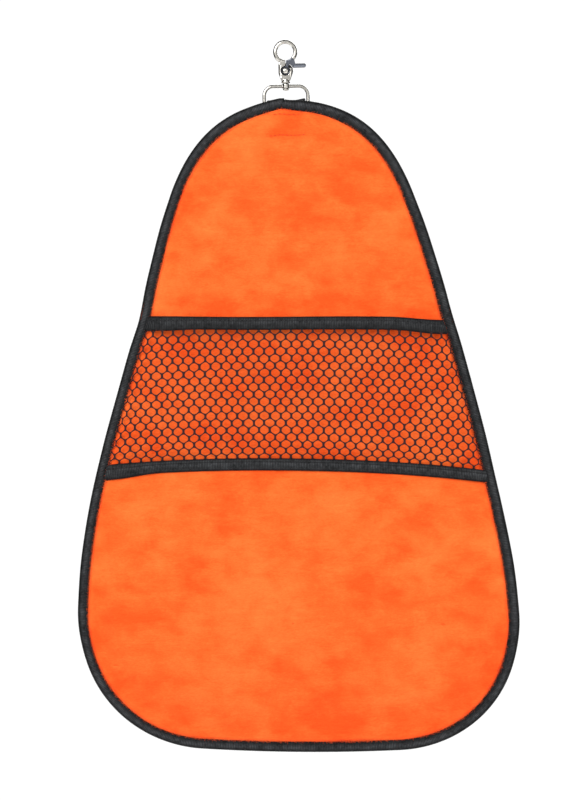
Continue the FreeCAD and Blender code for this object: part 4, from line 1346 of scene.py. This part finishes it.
def strap_line():
    """The strap's middle, up one leg, round the loop's lower bar and down the other."""
    radius = BAR_RADIUS + STRAP_THICK / 2
    back_y = STRAP_BACK - STRAP_THICK / 2 - STRAP_SLACK
    front_y = STRAP_FRONT + STRAP_THICK / 2 + STRAP_SLACK
    low = WEB_BOX[0].z + 0.3
    line = [(back_y, z) for z in np.arange(low, STRAP_JOIN, STRAP_STEP)]
    line += blend_line((back_y, STRAP_JOIN), (radius, BAR_Z), STRAP_STEP)
    line += [(radius * math.cos(a), BAR_Z + radius * math.sin(a))
             for a in np.arange(0.0, math.pi, STRAP_STEP / radius)]
    line += blend_line((-radius, BAR_Z), (front_y, STRAP_JOIN), STRAP_STEP)
    line += [(front_y, z) for z in np.arange(STRAP_JOIN - STRAP_STEP, low, -STRAP_STEP)]
    return np.array(line)


def make_tab():
    """The strap, folded round the loop's lower bar, with woven ribs across it."""
    wide = WEB_BOX[1].x
    line = strap_line()
    along = np.gradient(line, axis=0)
    along /= np.hypot(*along.T)[:, None]
    facing = np.stack([along[:, 1], -along[:, 0]], 1)
    rib = ribs(len(line), -0.09, 0.035)
    points = []
    for k in range(len(line)):
        for share, depth in STRAP_SECTION:
            offset = depth * (STRAP_THICK / 2 + rib[k] * min(1.0, abs(depth)))
            y, z = line[k] + facing[k] * offset
            lifted = 1.0 * smooth_step(0.62, 0.95, share) - 0.25
            points.append((share * wide, y, z + lifted * smooth_step(BAR_Z, BAR_Z + 2.0, z)))
    faces = capped_tube(len(line), len(STRAP_SECTION))
    tab = outwards(build("webbing_strap", points, faces, WEBBING, "muff", laid=False))
    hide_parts("webbing_tab")


def blend_line(start, end, step):
    """Points from start to end, easing sideways, without the ends."""
    start, end = np.array(start), np.array(end)
    count = max(3, int(abs(end[1] - start[1]) / step))
    share = np.arange(1, count) / count
    ease = share * share * (3 - 2 * share)
    y = start[0] + (end[0] - start[0]) * ease
    z = start[1] + (end[1] - start[1]) * share
    return list(zip(y, z))


TAB_STITCH_SIZE = (0.24, 0.2)
TAB_STITCH_PITCH = 2.6
TAB_STITCH_REACH = 12.0
STRAP_FACE_DEPTH = 7.25


def make_tab_stitches():
    """Two rows through everything: sunk in the front pile, and plain to see on the strap behind."""
    rows = []
    for drop, half, _ in TAB_ROWS:
        for side, depth in ((1, PILE_HALF + 0.15), (-1, STRAP_FACE_DEPTH)):
            reach = min(half, TAB_STITCH_REACH)

            def at(s, reach=reach, drop=drop, side=side, depth=depth):
                from_middle = s - reach
                return np.array([TAB_CENTRE + from_middle, MID_Y - side * depth, tab_row(drop, from_middle)])

            face = np.array([0.0, -side, 0.0])
            rows.append(capsule_path(at, 2 * reach, TAB_STITCH_PITCH, TAB_STITCH_SIZE, face))
    piece = outwards(build("tab_stitches", *joined(rows), ORANGE_THREAD))
    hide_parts("tab_stitching")


# ---------------------------------------------------------------- metal

RIVET_BOX = box_mm("trigger_rivet")
PIVOT = (RIVET_BOX[0] + RIVET_BOX[1]) / 2
CUP_REACH = 4.8
LEVER_MIDDLE = -9.0


def cast(node, voxel, rounds, material):
    """A CAD metal piece with its edges softened as casting and plating leave them."""
    source = frame["nodes"][node]
    piece = add_object(f"{node}_cast", source.data.copy())
    remesh = piece.modifiers.new("remesh", "REMESH")
    remesh.mode = "VOXEL"
    remesh.voxel_size = voxel * MM
    remesh.use_smooth_shade = True
    soften = piece.modifiers.new("soften", "SMOOTH")
    soften.factor = 0.5
    soften.iterations = rounds
    piece.data = bpy.data.meshes.new_from_object(evaluated(piece))
    piece.modifiers.clear()
    piece.data.materials.clear()
    piece.data.materials.append(material)
    piece.data.shade_smooth()
    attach(piece, source["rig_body"])
    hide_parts(node)
    return piece


def points_of(piece):
    points = np.empty(len(piece.data.vertices) * 3, np.float32)
    piece.data.vertices.foreach_get("co", points)
    return points.reshape(-1, 3) / MM


def set_points(piece, points):
    piece.data.vertices.foreach_set("co", (points * MM).ravel())
    piece.data.update()


def shape_trigger(trigger):
    """The hub is sunk, so that the rivet's head stands in a shaded cup. The lever's lower half leans back."""
    points = points_of(trigger)
    apart = np.hypot(points[:, 0] - PIVOT.x, points[:, 2] - PIVOT.z)
    points[:, 1] *= 1 - 0.42 * smooth_step(2.95, 2.55, apart)
    lever = smooth_step(4.8, 6.0, points[:, 0])
    points[:, 1] *= 1 - 0.27 * lever * np.clip(LEVER_MIDDLE - points[:, 2], 0.0, 1.4)
    set_points(trigger, points)


def shape_cup(body):
    """The cup's face rolls back towards its two sides."""
    points = points_of(body)
    cup = (points[:, 1] < 0) & (np.abs(points[:, 2] - PIVOT.z) < CUP_REACH)
    aside = np.clip(np.abs(points[:, 0]) - 2.3, 0.0, 2.3)
    within = smooth_step(CUP_REACH, CUP_REACH - 1.5, np.abs(points[:, 2] - PIVOT.z))
    points[cup, 1] *= (1 - 0.10 * aside**2 * within)[cup]
    set_points(body, points)


def make_metal():
    shape_cup(cast("hook_body", 0.17, 10, NICKEL))
    shape_trigger(cast("trigger", 0.13, 12, SHADED_TRIGGER_NICKEL))
    small = (("swivel_loop", 0.17, 4), ("trigger_rivet", 0.09, 3), ("swivel_pin", 0.12, 6))
    for node, voxel, rounds in small:
        cast(node, voxel, rounds, NICKEL)
    spring = frame["nodes"]["trigger_spring"]
    spring.data.materials.clear()
    spring.data.materials.append(SPRING)
    spring.data.shade_smooth()


# ---------------------------------------------------------------- stage

# the view and the floor, in metres
ROLL = math.radians(1.1)
VIEW_CENTRE = Vector((0.4, 0.0, -226.9)) * MM
VIEW_HEIGHT = 520.0 * MM
VIEW_DISTANCE = 2.6
FLOOR_RADIUS = 1.25
FLOOR_Z = -0.62

# the world's strength on cloth, and the studio that metal mirrors, by place and strength
WORLD_LIGHT = 0.85
WORLD_FACING = ((0.0, 0.5), (0.03, 0.42), (0.06, 0.9), (0.09, 1.25), (0.14, 1.15), (0.19, 0.35), (0.24, 0.05),
                (0.965, 0.03), (1.0, 0.6))
WORLD_HEIGHT = ((0.0, 0.55), (0.38, 0.7), (0.46, 1.0), (0.56, 1.25), (0.70, 1.0), (0.75, 0.2), (0.83, 1.0),
                (1.0, 1.4))


def make_camera():
    data = bpy.data.cameras.new("camera")
    data.sensor_width = 36.0
    data.lens = data.sensor_width * VIEW_DISTANCE / VIEW_HEIGHT
    data.clip_start, data.clip_end = 0.1, 20.0
    camera = add_object("camera", data)
    right = Vector((math.cos(ROLL), 0.0, -math.sin(ROLL)))
    back = Vector((0.0, -1.0, 0.0))
    up = back.cross(right)
    camera.matrix_world = Matrix((
        (right.x, up.x, back.x, VIEW_CENTRE.x),
        (right.y, up.y, back.y, VIEW_CENTRE.y - VIEW_DISTANCE + MID_Y * MM),
        (right.z, up.z, back.z, VIEW_CENTRE.z),
        (0.0, 0.0, 0.0, 1.0)))
    bpy.context.scene.camera = camera


def area_light(name, place, aim, width, height, power, mirrored):
    data = bpy.data.lights.new(name, "AREA")
    data.shape = "RECTANGLE"
    data.size, data.size_y = width, height
    data.energy = power
    light = add_object(name, data)
    light.visible_glossy = mirrored
    light.location = place
    light.rotation_euler = (Vector(aim) - Vector(place)).to_track_quat("-Z", "Y").to_euler()


def make_stage():
    corners = 96
    turns = [math.tau * k / corners for k in range(corners)]
    mesh = bpy.data.meshes.new("floor")
    mesh.from_pydata([(FLOOR_RADIUS * math.cos(t), FLOOR_RADIUS * math.sin(t), FLOOR_Z) for t in turns], [],
                     [tuple(range(corners))])
    mesh.materials.append(plain_material("floor", (0.80, 0.80, 0.80), 0.9))
    floor = add_object("floor", mesh)
    middle = (0.0, 0.0, -0.22)
    area_light("key", (-0.9, -1.6, 0.75), middle, 1.1, 1.1, 26.0, True)
    area_light("fill", (1.3, -1.3, 0.0), middle, 1.2, 1.6, 13.0, False)
    area_light("behind", (0.5, 1.9, 0.7), middle, 1.4, 1.2, 22.0, True)


def make_world():
    """White to the eye and even on cloth. In metal it is a studio: bright boxes with dark gaps between."""
    world = bpy.data.worlds.new("studio")
    bpy.context.scene.world = world
    world.use_nodes = True
    world.node_tree.nodes.clear()
    studio = Tree(world.node_tree)

    def greys(value, bands):
        return studio.ramp(value, [(position, (shade, shade, shade)) for position, shade in bands])

    def background(strength, color=None):
        made = studio.node("ShaderNodeBackground")
        made.inputs["Strength"].default_value = strength
        if color is None:
            made.inputs["Color"].default_value = (*WHITE, 1.0)
        else:
            studio.link(color, made.inputs["Color"])
        return made.outputs[0]

    def choose(test, no, yes):
        made = studio.node("ShaderNodeMixShader")
        for socket, value in zip(made.inputs, (test, no, yes)):
            studio.link(value, socket)
        return made.outputs[0]

    split = studio.node("ShaderNodeSeparateXYZ")
    studio.link(studio.node("ShaderNodeTexCoord").outputs["Generated"], split.inputs[0])
    facing = greys(studio.remap(split.outputs["Y"], From_Min=-1.0), WORLD_FACING)
    height = greys(studio.remap(split.outputs["Z"], From_Min=-1.0), WORLD_HEIGHT)
    boxes = background(1.0, studio.mix("MULTIPLY", 1.0, facing, height))
    path = studio.node("ShaderNodeLightPath")
    lit = choose(path.outputs["Is Glossy Ray"], background(WORLD_LIGHT), boxes)
    seen = choose(path.outputs["Is Camera Ray"], lit, background(1.05))
    studio.link(seen, studio.node("ShaderNodeOutputWorld").inputs["Surface"])


def main():
    make_camera()
    make_world()
    make_stage()
    plush_face("front_pile", "front_plush", 1, 1, True)
    plush_face("back_pile", "back_plush", -1, 31, False)
    make_wadding()
    make_binding()
    make_edge_stitching()
    fuzz("front_fuzz", 1, 12000, 5)
    fuzz("back_fuzz", -1, 8000, 6)
    make_pocket()
    make_tab()
    make_tab_stitches()
    make_metal()
    scene = bpy.context.scene
    scene.view_settings.view_transform = "Standard"
    scene.view_settings.look = "None"


main()
